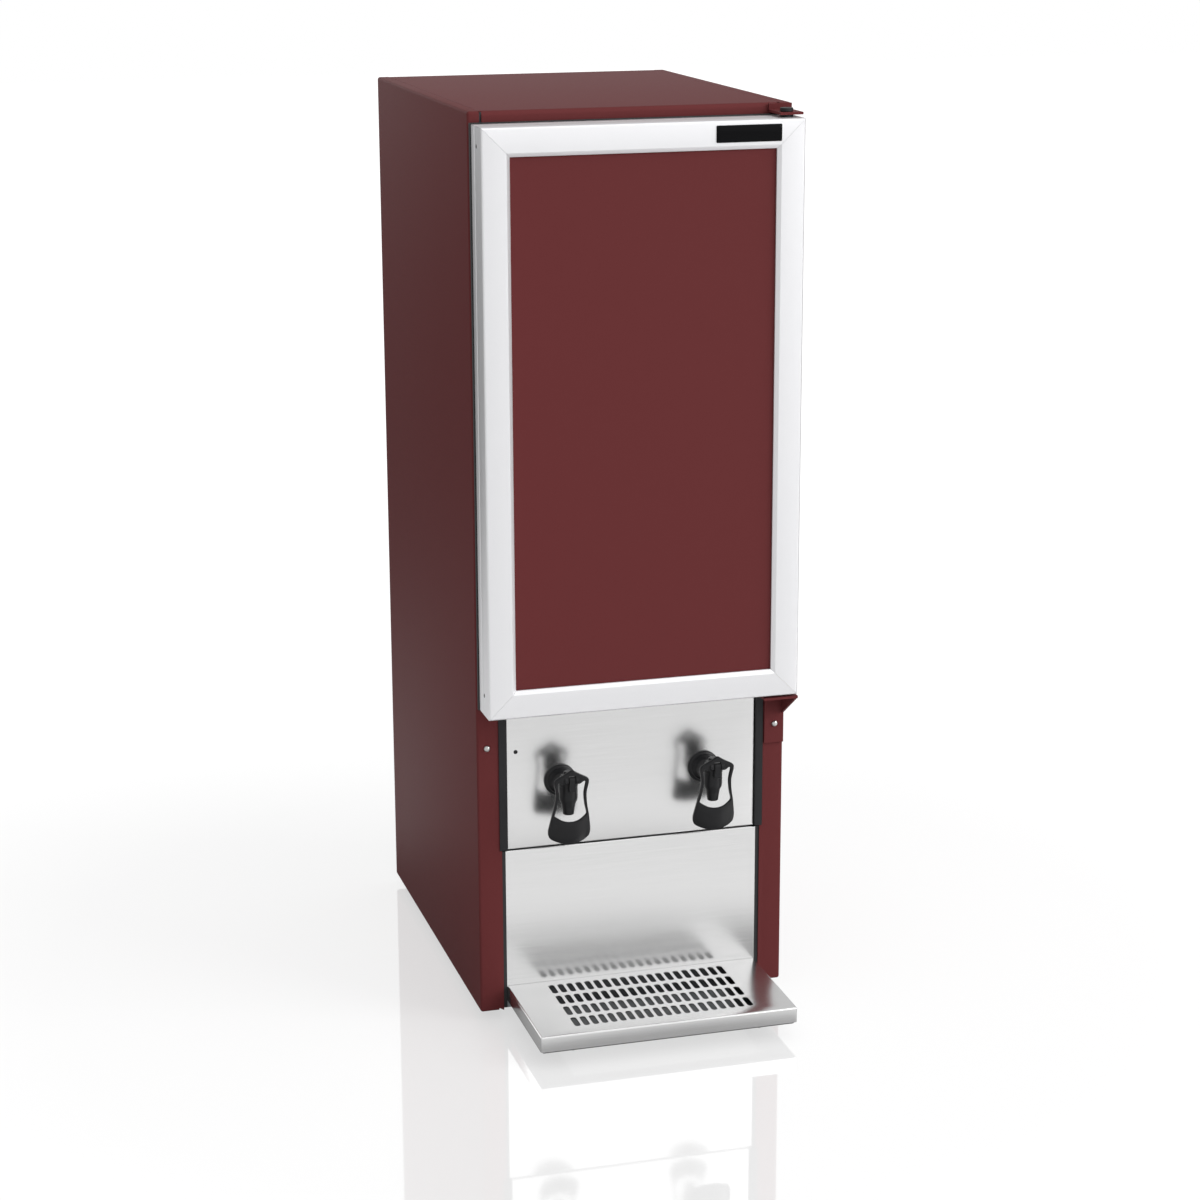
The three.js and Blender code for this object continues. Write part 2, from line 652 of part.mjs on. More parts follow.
function bagConnector() {
  const bottom = CAVITY_FLOOR + FIT;
  const top = bottom + CONNECTOR_HEIGHT;
  const body = join(
    bar("z", CONNECTOR_RADIUS, [bottom, top]),
    bar("z", BARB_RADIUS, [bottom - CONNECTOR_BARB, bottom + CONNECTOR_FLOOR], [0, 0, 0], SMALL_SIDES),
  );
  return cut(
    body,
    bar("z", CONNECTOR_SOCKET_RADIUS, [bottom + CONNECTOR_FLOOR, top + OVERRUN]),
    bar("z", TAP_BORE_RADIUS, [bottom - CONNECTOR_BARB - OVERRUN, top], [0, 0, 0], SMALL_SIDES),
  );
}

// A hose's route in its own upright plane: back from the tap, round a bend and up
class HoseRoute extends THREE.Curve {
  constructor(start, bendStart, top) {
    super();
    this.start = start;
    this.run = bendStart - start;
    this.arc = (HOSE_BEND * Math.PI) / 2;
    this.rise = top - HOSE_BEND;
  }

  getPoint(share, target = new THREE.Vector3()) {
    const gone = share * (this.run + this.arc + this.rise);
    const turn = Math.min(Math.max(gone - this.run, 0) / this.arc, 1);
    const angle = (turn * Math.PI) / 2;
    const straight = Math.min(gone, this.run);
    const climb = Math.max(gone - this.run - this.arc, 0);
    return target.set(
      0,
      this.start + straight + HOSE_BEND * Math.sin(angle),
      HOSE_BEND * (1 - Math.cos(angle)) + climb,
    );
  }
}

function wineHose() {
  const top = CAVITY_FLOOR - LINER - RUNNING - TAP_HEIGHT;
  const route = new HoseRoute(SHANK_END + FIT, HOSE_RISE_Y - HOSE_BEND, top);
  const ring = (radius) => new THREE.Path().absarc(0, 0, radius, 0, 2 * Math.PI);
  const section = new THREE.Shape(ring(HOSE_RADIUS).getSpacedPoints(SMALL_SIDES));
  section.holes = [new THREE.Path(ring(HOSE_BORE_RADIUS).getSpacedPoints(SMALL_SIDES))];
  return new THREE.ExtrudeGeometry(section, { steps: HOSE_STEPS, extrudePath: route });
}

// Comb of fins on a solid back, fins toward the front
function finBlock(left, right, front, rear, bottom, top, fins) {
  const pitch = (right - left) / fins;
  const root = front + (rear - front) * (1 - FIN_ROOT_SHARE);
  const teeth = Array.from({ length: fins }, (_, i) => {
    const x = left + i * pitch;
    const edge = x + pitch * FIN_SHARE;
    const next = i === fins - 1 ? [] : [[x + pitch, root]];
    return [[x, front], [edge, front], [edge, root], ...next];
  }).flat();
  const outline = [[left, rear], ...teeth, [right, root], [right, rear]];
  return prism("z", outline, [bottom, top]);
}

function evaporator() {
  const bottom = coverBottom + EVAPORATOR_LIFT;
  return finBlock(
    EVAPORATOR_SIDE_GAP - coverHalf,
    coverHalf - EVAPORATOR_SIDE_GAP,
    coldRear - EVAPORATOR_DEPTH,
    coldRear,
    bottom,
    bottom + EVAPORATOR_HEIGHT,
    EVAPORATOR_FINS,
  );
}

function evaporatorCover() {
  const through = [coverFront - OVERRUN, coverFront + COVER_WALL + OVERRUN];
  const wall = [coverFront, coverFront + COVER_WALL];
  const shell = cut(
    block(across(coverHalf), [coverFront, coldRear], [coverBottom, coverTop]),
    block(
      across(coverHalf - COVER_WALL),
      [coverFront + COVER_WALL, coldRear + OVERRUN],
      [coverBottom - OVERRUN, coverTop - COVER_WALL],
    ),
    bar("y", FAN_HOLE_RADIUS, through, [0, 0, coldFanZ], FINE_SIDES),
  );
  const ring = cut(
    bar("y", GUARD_RING_RADIUS, wall, [0, 0, coldFanZ]),
    bar("y", GUARD_RING_RADIUS - GUARD_BAR, through, [0, 0, coldFanZ]),
  );
  const reach = FAN_HOLE_RADIUS + GUARD_BAR;
  const spindle = [coverFront - SPINDLE_LENGTH, coverFront + COVER_WALL];
  return join(
    shell,
    ring,
    block(across(reach), wall, [coldFanZ - GUARD_BAR / 2, coldFanZ + GUARD_BAR / 2]),
    block(across(GUARD_BAR / 2), wall, [coldFanZ - reach, coldFanZ + reach]),
    bar("y", SPINDLE_RADIUS, spindle, [knobX, 0, coverBottom + KNOB_LIFT], SMALL_SIDES),
  );
}

// A fan turning about its own Y axis, hub and pitched blades on a bored shaft
function fan(radius, hubRadius, hub, shaftRadius) {
  const chord = radius * BLADE_CHORD_SHARE;
  const root = hubRadius * BLADE_ROOT_SHARE;
  const blades = Array.from({ length: FAN_BLADES }, (_, i) => {
    const blade = block(
      across(chord / 2),
      across(BLADE_THICKNESS / 2),
      [root, radius],
    );
    return blade.rotateZ(BLADE_PITCH).rotateY((2 * Math.PI * i) / FAN_BLADES);
  });
  const whole = join(bar("y", hubRadius, across(hub / 2)), ...blades);
  return cut(whole, bar("y", shaftRadius + FIT, across(hub), [0, 0, 0], SMALL_SIDES));
}

function coldFanMotor() {
  const front = coldRear - COLD_MOTOR_LENGTH;
  const tip = coverFront + COVER_WALL + COLD_FAN_GAP - FIT;
  return join(
    bar("y", COLD_MOTOR_RADIUS, [front, coldRear], [0, 0, coldFanZ]),
    bar("y", COLD_SHAFT_RADIUS, [tip, coldRear], [0, 0, coldFanZ], SMALL_SIDES),
  );
}

// Knob with a finger grip, on its own Y axis, back face at y = 0
function thermostatKnob() {
  const grip = [-KNOB_HEIGHT, -KNOB_HEIGHT / 2];
  const whole = join(
    bar("y", KNOB_RADIUS, [-KNOB_HEIGHT / 2, 0]),
    block(across(KNOB_GRIP / 2), [grip[0], 0], across(KNOB_RADIUS)),
  );
  const depth = [FIT - SPINDLE_LENGTH - FIT, OVERRUN];
  return cut(whole, bar("y", SPINDLE_RADIUS + FIT, depth, [0, 0, 0], SMALL_SIDES));
}

// Machine space
function compressor() {
  const half = COMPRESSOR_BASE_HALF;
  const mount = half - COMPRESSOR_MOUNT_RADIUS;
  const base = standing + COMPRESSOR_MOUNT;
  const bottom = base + COMPRESSOR_BASE;
  const top = bottom + COMPRESSOR_HEIGHT;
  const radius = COMPRESSOR_RADIUS;
  const dome = COMPRESSOR_RADIUS / 2;
  const pot = turned(
    [
      [0, base], [radius * POT_FOOT_SHARE, base], [radius, bottom + dome], [radius, top - dome],
      [radius * POT_SHOULDER_SHARE, top - dome * POT_CROWN_SHARE], [radius * POT_CROWN_SHARE, top],
      [0, top],
    ],
    FINE_SIDES,
  );
  const mounts = [-1, 1].flatMap((sx) =>
    [-1, 1].map((sy) =>
      bar("z", COMPRESSOR_MOUNT_RADIUS, [standing, bottom], [sx * mount, sy * mount, 0], SMALL_SIDES),
    ),
  );
  return join(pot, block(across(half), across(half), [base, bottom]), ...mounts);
}

function condenser() {
  return finBlock(
    condenserLeft,
    condenserRight,
    condenserFront,
    condenserRear,
    standing,
    standing + CONDENSER_HEIGHT,
    CONDENSER_FINS,
  );
}

const warmFanY = condenserFront - WARM_FAN_GAP - WARM_FAN_HUB / 2;

function warmFanMotor() {
  const rear = warmFanY - WARM_FAN_HUB / 2 - WARM_FAN_GAP;
  const body = [rear - WARM_MOTOR_LENGTH, rear];
  const centre = [warmFanX, 0, WARM_FAN_HEIGHT];
  const foot = middle(body);
  return join(
    bar("y", WARM_MOTOR_RADIUS, body, centre),
    bar("y", WARM_SHAFT_RADIUS, [body[0], warmFanY + WARM_FAN_HUB / 2], centre, SMALL_SIDES),
    block(
      [warmFanX - MOTOR_FOOT_WIDTH / 2, warmFanX + MOTOR_FOOT_WIDTH / 2],
      [foot - MOTOR_FOOT_DEPTH / 2, foot + MOTOR_FOOT_DEPTH / 2],
      [standing, WARM_FAN_HEIGHT],
    ),
  );
}

function condensatePan() {
  const wall = DRIP_PAN_WALL;
  return cut(
    block([dripPanLeft, dripPanRight], [DRIP_PAN_FRONT, DRIP_PAN_REAR], [standing, DRIP_PAN_HEIGHT]),
    block(
      [dripPanLeft + wall, dripPanRight - wall],
      [DRIP_PAN_FRONT + wall, DRIP_PAN_REAR - wall],
      [standing + wall, DRIP_PAN_HEIGHT + OVERRUN],
    ),
  );
}

function electricalBox() {
  const z = BOX_BOTTOM + BOX_HEIGHT / 2;
  const about = (centre, half) => [centre - half, centre + half];
  const socketFloor = CABINET_DEPTH - SOCKET_DEPTH;
  const shell = join(
    block(about(boxX, BOX_HALF_WIDTH), [foamRear - BOX_DEPTH, foamRear], about(z, BOX_HEIGHT / 2)),
    block(
      about(boxX, INLET_HALF_WIDTH),
      [foamRear - BOX_DEPTH, CABINET_DEPTH],
      about(z, INLET_HALF_HEIGHT),
    ),
    block(
      about(boxX, INLET_HALF_WIDTH + INLET_FLANGE),
      [rearOuter + FIT, CABINET_DEPTH],
      about(z, INLET_HALF_HEIGHT + INLET_FLANGE),
    ),
  );
  const recess = block(
    about(boxX, SOCKET_HALF_WIDTH),
    [socketFloor, CABINET_DEPTH + OVERRUN],
    about(z, SOCKET_HALF_HEIGHT),
  );
  const pins = evenly(3, INLET_PIN_PITCH, boxX).map((x) =>
    block(
      about(x, INLET_PIN_WIDTH / 2),
      [socketFloor - INLET_PIN_LENGTH, socketFloor + INLET_PIN_LENGTH],
      about(z, INLET_PIN_HEIGHT / 2),
    ),
  );
  return join(cut(shell, recess), ...pins);
}

// Front panels
function tapPanel() {
  const sheet = [PANEL_SETBACK, panelBack];
  const returned = [PANEL_SETBACK, PANEL_SETBACK + TAP_PANEL_RETURN];
  const height = [TAP_PANEL_BOTTOM, TAP_PANEL_TOP];
  const folded = join(
    block(across(tapPanelHalf), sheet, height),
    block(onSide(-1, tapPanelHalf - SHEET, tapPanelHalf), returned, height),
    block(onSide(1, tapPanelHalf - SHEET, tapPanelHalf), returned, height),
    block(across(tapPanelHalf), returned, [TAP_PANEL_BOTTOM, TAP_PANEL_BOTTOM + SHEET]),
  );
  const holes = [-1, 1].map((side) =>
    bar(
      "y",
      SHANK_RADIUS + RUNNING,
      [-OVERRUN, panelBack + OVERRUN],
      [(side * TAP_SPACING) / 2, 0, TAP_HEIGHT],
    ),
  );
  return cut(folded, ...holes);
}

function splashPanel() {
  const top = TAP_PANEL_BOTTOM - SEAM;
  return join(
    block(across(splashHalf), [PANEL_SETBACK, panelBack], [SPLASH_BOTTOM, top]),
    block(across(splashHalf), [PANEL_SETBACK, PANEL_SETBACK + SPLASH_RETURN], [top - SHEET, top]),
  );
}

function trimStrip(side) {
  const height = [TAP_PANEL_BOTTOM, lowerPlate[0] - FIT];
  const near = tapPanelHalf + FIT;
  return join(
    block(onSide(side, near, flangeInner + TRIM_LAP), [-FIT - TRIM_CAP, -FIT], height),
    block(onSide(side, near, flangeInner - FIT), [-FIT - TRIM_CAP, TRIM_DEPTH], height),
  );
}

function traySupport() {
  const top = TRAY_BOTTOM - FIT;
  const run = [-SUPPORT_REACH, SUPPORT_TAIL];
  const web = (side) =>
    block(onSide(side, SUPPORT_HALF_WIDTH - SUPPORT_SHEET, SUPPORT_HALF_WIDTH), run, [standing, top]);
  return join(block(across(SUPPORT_HALF_WIDTH), run, [top - SUPPORT_SHEET, top]), web(-1), web(1));
}

// Hinges and screws
const hingeOut = halfWidth - HINGE_SIDE_INSET;
const leafBack = -FIT;
const leafFront = leafBack - HINGE_PLATE;

function lowerHinge() {
  const [bottom, top] = lowerPlate;
  const gussetX = [hingeOut - HINGE_PLATE, hingeOut];
  const gusset = prism(
    "x",
    [[leafBack, bottom - GUSSET_DROP], [leafFront - GUSSET_REACH, bottom], [leafFront - GUSSET_REACH, top],
      [leafBack, top]],
    gussetX,
  );
  const screwX = halfWidth - SCREW_INSET;
  return cut(
    join(
      block([hingeOut - HINGE_WIDTH, hingeOut], [-LOWER_HINGE_REACH, leafBack], lowerPlate),
      block([hingeOut - LOWER_LEAF_WIDTH, hingeOut], [leafFront, leafBack], [top - LOWER_LEAF_DROP, top]),
      gusset,
    ),
    bar("z", PIN_RADIUS + FIT, [bottom - OVERRUN, top + OVERRUN], [pinX, pinY, 0], SMALL_SIDES),
    bar("y", SCREW_RADIUS + FIT, [-OVERRUN, OVERRUN], [screwX, 0, SCREW_HEIGHT], SMALL_SIDES),
  );
}

function upperHinge() {
  const [bottom, top] = upperPlate;
  const slotX = [pinX - UPPER_SLOT_WIDTH / 2, pinX + UPPER_SLOT_WIDTH / 2];
  return cut(
    join(
      block([hingeOut - UPPER_HINGE_WIDTH, hingeOut], [-UPPER_HINGE_REACH, leafBack], upperPlate),
      block(
        [hingeOut - UPPER_HINGE_WIDTH, hingeOut],
        [leafFront, leafBack],
        [bottom, BODY_HEIGHT - UPPER_LEAF_TOP_GAP],
      ),
    ),
    bar("z", PIN_RADIUS + FIT, [bottom - OVERRUN, top + OVERRUN], [pinX, pinY, 0], SMALL_SIDES),
    block(slotX, [-UPPER_SLOT_Y - UPPER_SLOT_DEPTH / 2, -UPPER_SLOT_Y + UPPER_SLOT_DEPTH / 2],
      [bottom - OVERRUN, top + OVERRUN]),
  );
}

// Headed pin with a washer face between hinge plate and door. It points up from z = 0 at the door's face.
function hingePin() {
  const shoulder = [-HINGE_GAP + FIT, -FIT];
  const head = [-HINGE_GAP - HINGE_PLATE - FIT - PIN_HEAD, -HINGE_GAP - HINGE_PLATE - FIT];
  return turned([
    [0, head[0]], [PIN_HEAD_RADIUS, head[0]], [PIN_HEAD_RADIUS, head[1]], [PIN_RADIUS, head[1]],
    [PIN_RADIUS, shoulder[0]], [PIN_HEAD_RADIUS, shoulder[0]], [PIN_HEAD_RADIUS, shoulder[1]],
    [PIN_RADIUS, shoulder[1]], [PIN_RADIUS, PIN_DEPTH], [0, PIN_DEPTH],
  ]);
}

// Pan-head screw along +Y, its head's seat at y = 0
function flangeScrew() {
  const rim = -SCREW_HEAD / 2;
  const profile = [
    [0, -SCREW_HEAD], [SCREW_HEAD_RADIUS * SCREW_CROWN_SHARE, -SCREW_HEAD], [SCREW_HEAD_RADIUS, rim],
    [SCREW_HEAD_RADIUS, 0], [SCREW_RADIUS, 0], [SCREW_RADIUS, SCREW_LENGTH], [0, SCREW_LENGTH],
  ];
  return turned(profile, SMALL_SIDES).rotateX(-Math.PI / 2);
}

// Door
const frameWidth = FRAME_FACE + FRAME_LIP;

// Section of a frame bar: inward from the door's edge, back from its face
function frameSection(edge, inward) {
  const lipBack = FRAME_LIP_DROP + FRAME_LIP_EDGE;
  const inner = DOOR_THICKNESS - FRAME_WALL;
  return [
    [0, 0], [FRAME_FACE, 0], [frameWidth, FRAME_LIP_DROP], [frameWidth, lipBack],
    [frameWidth - FRAME_WALL, lipBack], [FRAME_FACE - FRAME_WALL, FRAME_WALL], [FRAME_WALL, FRAME_WALL],
    [FRAME_WALL, inner], [FRAME_BACK, inner], [FRAME_BACK, DOOR_THICKNESS], [0, DOOR_THICKNESS],
  ].map(([u, v]) => [edge + inward * u, doorFront + v]);
}

// What lies between two mitres, seen from the front
function mitred(bars, outline) {
  return common(bars, prism("y", outline, [doorFront - OVERRUN, doorBack + OVERRUN]));
}

function doorStile(side) {
  const edge = side * doorHalf;
  const inner = edge - side * frameWidth;
  const bars = prism("z", frameSection(edge, -side), [DOOR_BOTTOM, doorTop]);
  return mitred(bars, [
    [edge, DOOR_BOTTOM + MITRE_GAP], [edge, doorTop - MITRE_GAP],
    [inner, doorTop - MITRE_GAP - frameWidth], [inner, DOOR_BOTTOM + MITRE_GAP + frameWidth],
  ]);
}

function doorRail(end) {
  const edge = end < 0 ? DOOR_BOTTOM : doorTop;
  const inner = edge - end * frameWidth;
  const section = frameSection(edge, -end).map(([z, y]) => [y, z]);
  const bars = prism("x", section, across(doorHalf));
  const outline = [
    [-doorHalf + MITRE_GAP, edge], [doorHalf - MITRE_GAP, edge],
    [doorHalf - MITRE_GAP - frameWidth, inner], [-doorHalf + MITRE_GAP + frameWidth, inner],
  ];
  const bore = bar("z", PIN_RADIUS + FIT, [edge - OVERRUN, edge + OVERRUN], [pinX, pinY, 0], SMALL_SIDES);
  return cut(mitred(bars, outline), bore);
}

const insetFront = doorFront + FRAME_LIP_DROP + FRAME_LIP_EDGE + FIT;
const linerFront = doorBack - FRAME_WALL;

function doorPanel() {
  const inset = FRAME_FACE - FRAME_WALL;
  return block(
    across(doorHalf - inset),
    [insetFront, insetFront + PANEL_SHEET],
    [DOOR_BOTTOM + inset, doorTop - inset],
  );
}

function doorFoam() {
  const inset = FRAME_WALL + FIT;
  const filling = block(
    across(doorHalf - inset),
    [insetFront + PANEL_SHEET + FIT, linerFront - FIT],
    [DOOR_BOTTOM + inset, doorTop - inset],
  );
  const way = PIN_DEPTH + RUNNING;
  const ends = [
    [DOOR_BOTTOM - OVERRUN, DOOR_BOTTOM + way],
    [doorTop - way, doorTop + OVERRUN],
  ];
  return cut(filling, ...ends.map((end) => bar("z", PIN_WAY_RADIUS, end, [pinX, pinY, 0])));
}

function doorLiner() {
  const inset = FRAME_BACK + FIT;
  return block(
    across(doorHalf - inset),
    [linerFront, doorBack],
    [DOOR_BOTTOM + inset, doorTop - inset],
  );
}

function doorGasket() {
  const outside = doorHalf - GASKET_INSET;
  const ends = [DOOR_BOTTOM + GASKET_END_INSET, doorTop - GASKET_END_INSET];
  const thick = [doorBack + FIT, -RUNNING];
  const inner = [ends[0] + GASKET_WIDTH, ends[1] - GASKET_WIDTH];
  const through = [thick[0] - OVERRUN, thick[1] + OVERRUN];
  return cut(
    block(across(outside), thick, ends),
    block(across(outside - GASKET_WIDTH), through, inner),
  );
}

function namePlate() {
  const right = doorHalf - PLATE_RIGHT_INSET;
  const top = doorTop - PLATE_TOP_INSET;
  const back = doorFront - FIT;
  return block([right - PLATE_WIDTH, right], [back - PLATE_THICKNESS, back], [top - PLATE_HEIGHT, top]);
}

// Taps, about their own middle at the height of the barrel's axis
function tapBody() {
  const lugY = pivotY - LUG_RADIUS;
  const axis = [0, tapAxisY, 0];
  const lugRear = tapAxisY - BONNET_RADIUS;
  const bodyTop = TAP_BODY_TOP;
  const whole = join(
    bar("y", SHANK_RADIUS, [collarFront, SHANK_END]),
    bar("y", BARB_RADIUS, [collarFront, BARB_END], [0, 0, 0], SMALL_SIDES),
    bar("y", COLLAR_RADIUS, [collarFront + COLLAR_CHAMFER, collarBack], [0, 0, 0], FINE_SIDES),
    bar("y", COLLAR_RADIUS - COLLAR_CHAMFER, [collarFront, collarBack], [0, 0, 0], FINE_SIDES),
    bar("y", BARREL_RADIUS, [tapAxisY, collarBack]),
    bar("z", TAP_BODY_RADIUS, [-TAP_BODY_BOTTOM, bodyTop], axis),
    bar("z", SPOUT_TIP_RADIUS, [-SPOUT_TIP, -SPOUT_SHOULDER], axis, ROUND_SIDES, SPOUT_TOP_RADIUS),
    block(across(LUG_HALF_WIDTH), [lugY, lugRear], [LUG_FOOT, PIVOT_HEIGHT + LUG_RADIUS]),
    block(across(LUG_HALF_WIDTH), [lugY, tapAxisY - CHAMBER_RADIUS], [LUG_FOOT, bodyTop - RUNNING]),
  );
  return cut(
    whole,
    bar("y", TAP_BORE_RADIUS, [tapAxisY, BARB_END + OVERRUN], [0, 0, 0], SMALL_SIDES),
    bar("z", CHAMBER_RADIUS, [-SEAT_DEPTH, bodyTop + OVERRUN], axis),
    bar("z", TAP_BORE_RADIUS, [-SPOUT_TIP - OVERRUN, 0], axis, SMALL_SIDES),
    bar("x", PIVOT_PIN_RADIUS + FIT, across(LUG_HALF_WIDTH + OVERRUN), [0, pivotY, PIVOT_HEIGHT], SMALL_SIDES),
  );
}

function tapBonnet() {
  const axis = [0, tapAxisY, 0];
  const seat = TAP_BODY_TOP + FIT;
  return cut(
    join(
      bar("z", BONNET_RADIUS, [seat, BONNET_TOP], axis),
      bar("z", BONNET_SKIRT_RADIUS, [BONNET_SKIRT_BOTTOM, BONNET_TOP], axis),
    ),
    bar("z", STEM_RADIUS + RUNNING, [0, BONNET_TOP + OVERRUN], axis, SMALL_SIDES),
  );
}

const tineTop = PIVOT_HEIGHT + CHEEK_RADIUS - RUNNING - RUNNING;

function tapStem() {
  const bottom = -SEAT_DEPTH + FIT;
  const head = tineTop + FIT;
  return turned([
    [0, bottom], [STEM_PLUG_RADIUS, bottom], [STEM_PLUG_RADIUS, bottom + STEM_PLUG],
    [STEM_RADIUS, bottom + STEM_PLUG], [STEM_RADIUS, head], [STEM_HEAD_RADIUS, head],
    [STEM_HEAD_RADIUS, head + STEM_HEAD], [0, head + STEM_HEAD],
  ]);
}

class Helix extends THREE.Curve {
  constructor(radius, bottom, top, turns) {
    super();
    Object.assign(this, { radius, bottom, top, turns });
  }

  getPoint(share, target = new THREE.Vector3()) {
    const angle = 2 * Math.PI * this.turns * share;
    const height = this.bottom + (this.top - this.bottom) * share;
    return target.set(this.radius * Math.cos(angle), this.radius * Math.sin(angle), height);
  }
}

function tapSpring() {
  const seat = -SEAT_DEPTH + FIT + STEM_PLUG + FIT + SPRING_WIRE_RADIUS;
  const roof = BONNET_SKIRT_BOTTOM - FIT - SPRING_WIRE_RADIUS;
  const route = new Helix(SPRING_RADIUS, seat, roof, SPRING_TURNS);
  const ring = new THREE.Path().absarc(0, 0, SPRING_WIRE_RADIUS, 0, 2 * Math.PI);
  const section = new THREE.Shape(ring.getSpacedPoints(SPRING_WIRE_SIDES));
  const steps = SPRING_TURNS * SPRING_TURN_STEPS;
  return new THREE.ExtrudeGeometry(section, { steps, extrudePath: route });
}

// The lever's pivot is its own origin
function leverOutline(shares) {
  const left = shares.map(([x, z]) => [-x * LEVER_HALF_WIDTH, z * LEVER_LENGTH]);
  const right = left.map(([x, z]) => [-x, z]).reverse();
  return [...left, ...right];
}

function bowedBand() {
  const centre = PADDLE_BOW_RADIUS - PADDLE_BULGE;
  const spread = Math.asin(LEVER_HALF_WIDTH / PADDLE_BOW_RADIUS) + 1 / PADDLE_STEPS;
  const arc = (radius, sign) =>
    Array.from({ length: PADDLE_STEPS + 1 }, (_, i) => {
      const angle = sign * spread * ((2 * i) / PADDLE_STEPS - 1);
      return [radius * Math.sin(angle), centre - radius * Math.cos(angle)];
    });
  const outline = [...arc(PADDLE_BOW_RADIUS, 1), ...arc(PADDLE_BOW_RADIUS - PADDLE_THICKNESS, -1)];
  return prism("z", outline, [-LEVER_LENGTH - OVERRUN, -PADDLE_JOIN + LEVER_THICKNESS]);
}

function tapLever() {
  const outline = leverOutline(LEVER_OUTER_SHARES);
  const hole = [leverOutline(LEVER_INNER_SHARES)];
  const half = LEVER_THICKNESS / 2;
  const wide = across(LEVER_HALF_WIDTH + OVERRUN);
  const archTop = LEVER_OUTER_SHARES[0][1] * LEVER_LENGTH;
  const arms = common(
    prism("y", outline, across(half), hole),
    block(wide, across(LEVER_THICKNESS), [-PADDLE_JOIN, archTop + OVERRUN]),
  );
  const paddle = common(prism("y", outline, across(PADDLE_BOW_RADIUS / 2), hole), bowedBand());
  const slot = across(LUG_HALF_WIDTH + RUNNING);
  const reach = CHEEK_RADIUS + OVERRUN;
  const loop = cut(join(arms, paddle), block(slot, across(reach), [-reach, LUG_RADIUS + LEVER_SWING_GAP]));
  const near = LUG_HALF_WIDTH + RUNNING;
  const top = tineTop - PIVOT_HEIGHT;
  const sides = [-1, 1].flatMap((side) => [
    bar("x", CHEEK_RADIUS, onSide(side, near, near + CHEEK_WIDTH), [0, 0, 0], SMALL_SIDES),
    block(onSide(side, near, TINE_FAR), [0, TINE_LENGTH], [top - TINE_THICKNESS, top]),
  ]);
  const pin = bar("x", PIVOT_PIN_RADIUS, across(near + CHEEK_WIDTH / 2), [0, 0, 0], SMALL_SIDES);
  return join(loop.rotateX(LEVER_RAKE), ...sides, pin);
}

// Drip tray
const trayRear = PANEL_SETBACK - FIT;
const lipInner = splashHalf - GRILLE_SHEET;

function dripGrille() {
  const plate = [TRAY_TOP - GRILLE_SHEET, TRAY_TOP];
  const lip = [TRAY_TOP - GRILLE_LIP, TRAY_TOP];
  const run = [-TRAY_FRONT, trayRear];
  const folded = join(
    block(across(splashHalf), run, plate),
    block(across(splashHalf), [-TRAY_FRONT, -TRAY_FRONT + GRILLE_SHEET], lip),
    block(onSide(-1, lipInner, splashHalf), run, lip),
    block(onSide(1, lipInner, splashHalf), run, lip),
  );
  const rowsMiddle = trayRear - SLOT_REAR_INSET - ((SLOT_ROWS - 1) * SLOT_PITCH_Y) / 2;
  const slots = evenly(SLOT_ROWS, SLOT_PITCH_Y, rowsMiddle).flatMap((y) =>
    evenly(SLOT_COLUMNS, SLOT_PITCH_X, 0).map((x) => slotOutline(x, y, SLOT_WIDTH, SLOT_LENGTH)),
  );
  const through = [TRAY_TOP - GRILLE_SHEET - OVERRUN, TRAY_TOP + OVERRUN];
  return cut(folded, ...slots.map((slot) => prism("z", slot, through)));
}

function dripTray() {
  const outside = lipInner - FIT;
  const front = -TRAY_FRONT + GRILLE_SHEET + FIT;
  const top = TRAY_TOP - GRILLE_SHEET - FIT;
  return cut(
    block(across(outside), [front, trayRear], [TRAY_BOTTOM, top]),
    block(
      across(outside - TRAY_SHEET),
      [front + TRAY_SHEET, trayRear - TRAY_SHEET],
      [TRAY_BOTTOM + TRAY_SHEET, top + OVERRUN],
    ),
  );
}

// The dispenser, from its shell to its tray
const dispenser = new THREE.Group();
dispenser.position.set(0, (TRAY_FRONT - CABINET_DEPTH) / 2, FOOT_HEIGHT);
const cabinet = new THREE.Group();
const coldSpace = new THREE.Group();
const machine = new THREE.Group();
const door = new THREE.Group();
const tray = new THREE.Group();
dispenser.add(cabinet, coldSpace, machine, door, tray);

piece(cabinet, "side_panel_left", sidePanel(-1), PAINT);
piece(cabinet, "side_panel_right", sidePanel(1), PAINT);
piece(cabinet, "top_panel", topPanel(), PAINT);
piece(cabinet, "back_panel", backPanel(), ZINC);
piece(cabinet, "rear_grille", rearGrille(), ENAMEL);
piece(cabinet, "base_pan", basePan(), ZINC);
for (const [end, y] of [["front", FOOT_INSET_Y], ["rear", CABINET_DEPTH - FOOT_INSET_Y]]) {
  piece(cabinet, `foot_${end}_left`, foot(), RUBBER, [FOOT_INSET_X - halfWidth, y, 0]);
  piece(cabinet, `foot_${end}_right`, foot(), RUBBER, [halfWidth - FOOT_INSET_X, y, 0]);
}
piece(cabinet, "insulation_foam", insulationFoam(), FOAM);
piece(cabinet, "tap_panel", tapPanel(), STEEL);
piece(cabinet, "splash_panel", splashPanel(), STEEL);
piece(cabinet, "trim_strip_left", trimStrip(-1), BLACK);
piece(cabinet, "trim_strip_right", trimStrip(1), BLACK);
piece(cabinet, "tray_support", traySupport(), STEEL);
piece(cabinet, "lower_hinge_bracket", lowerHinge(), PAINT);
piece(cabinet, "upper_hinge_bracket", upperHinge(), PAINT);
piece(cabinet, "lower_hinge_pin", hingePin(), ZINC, [pinX, pinY, DOOR_BOTTOM]);
piece(cabinet, "upper_hinge_pin", hingePin().rotateX(Math.PI), ZINC, [pinX, pinY, doorTop]);
const screwX = halfWidth - SCREW_INSET;
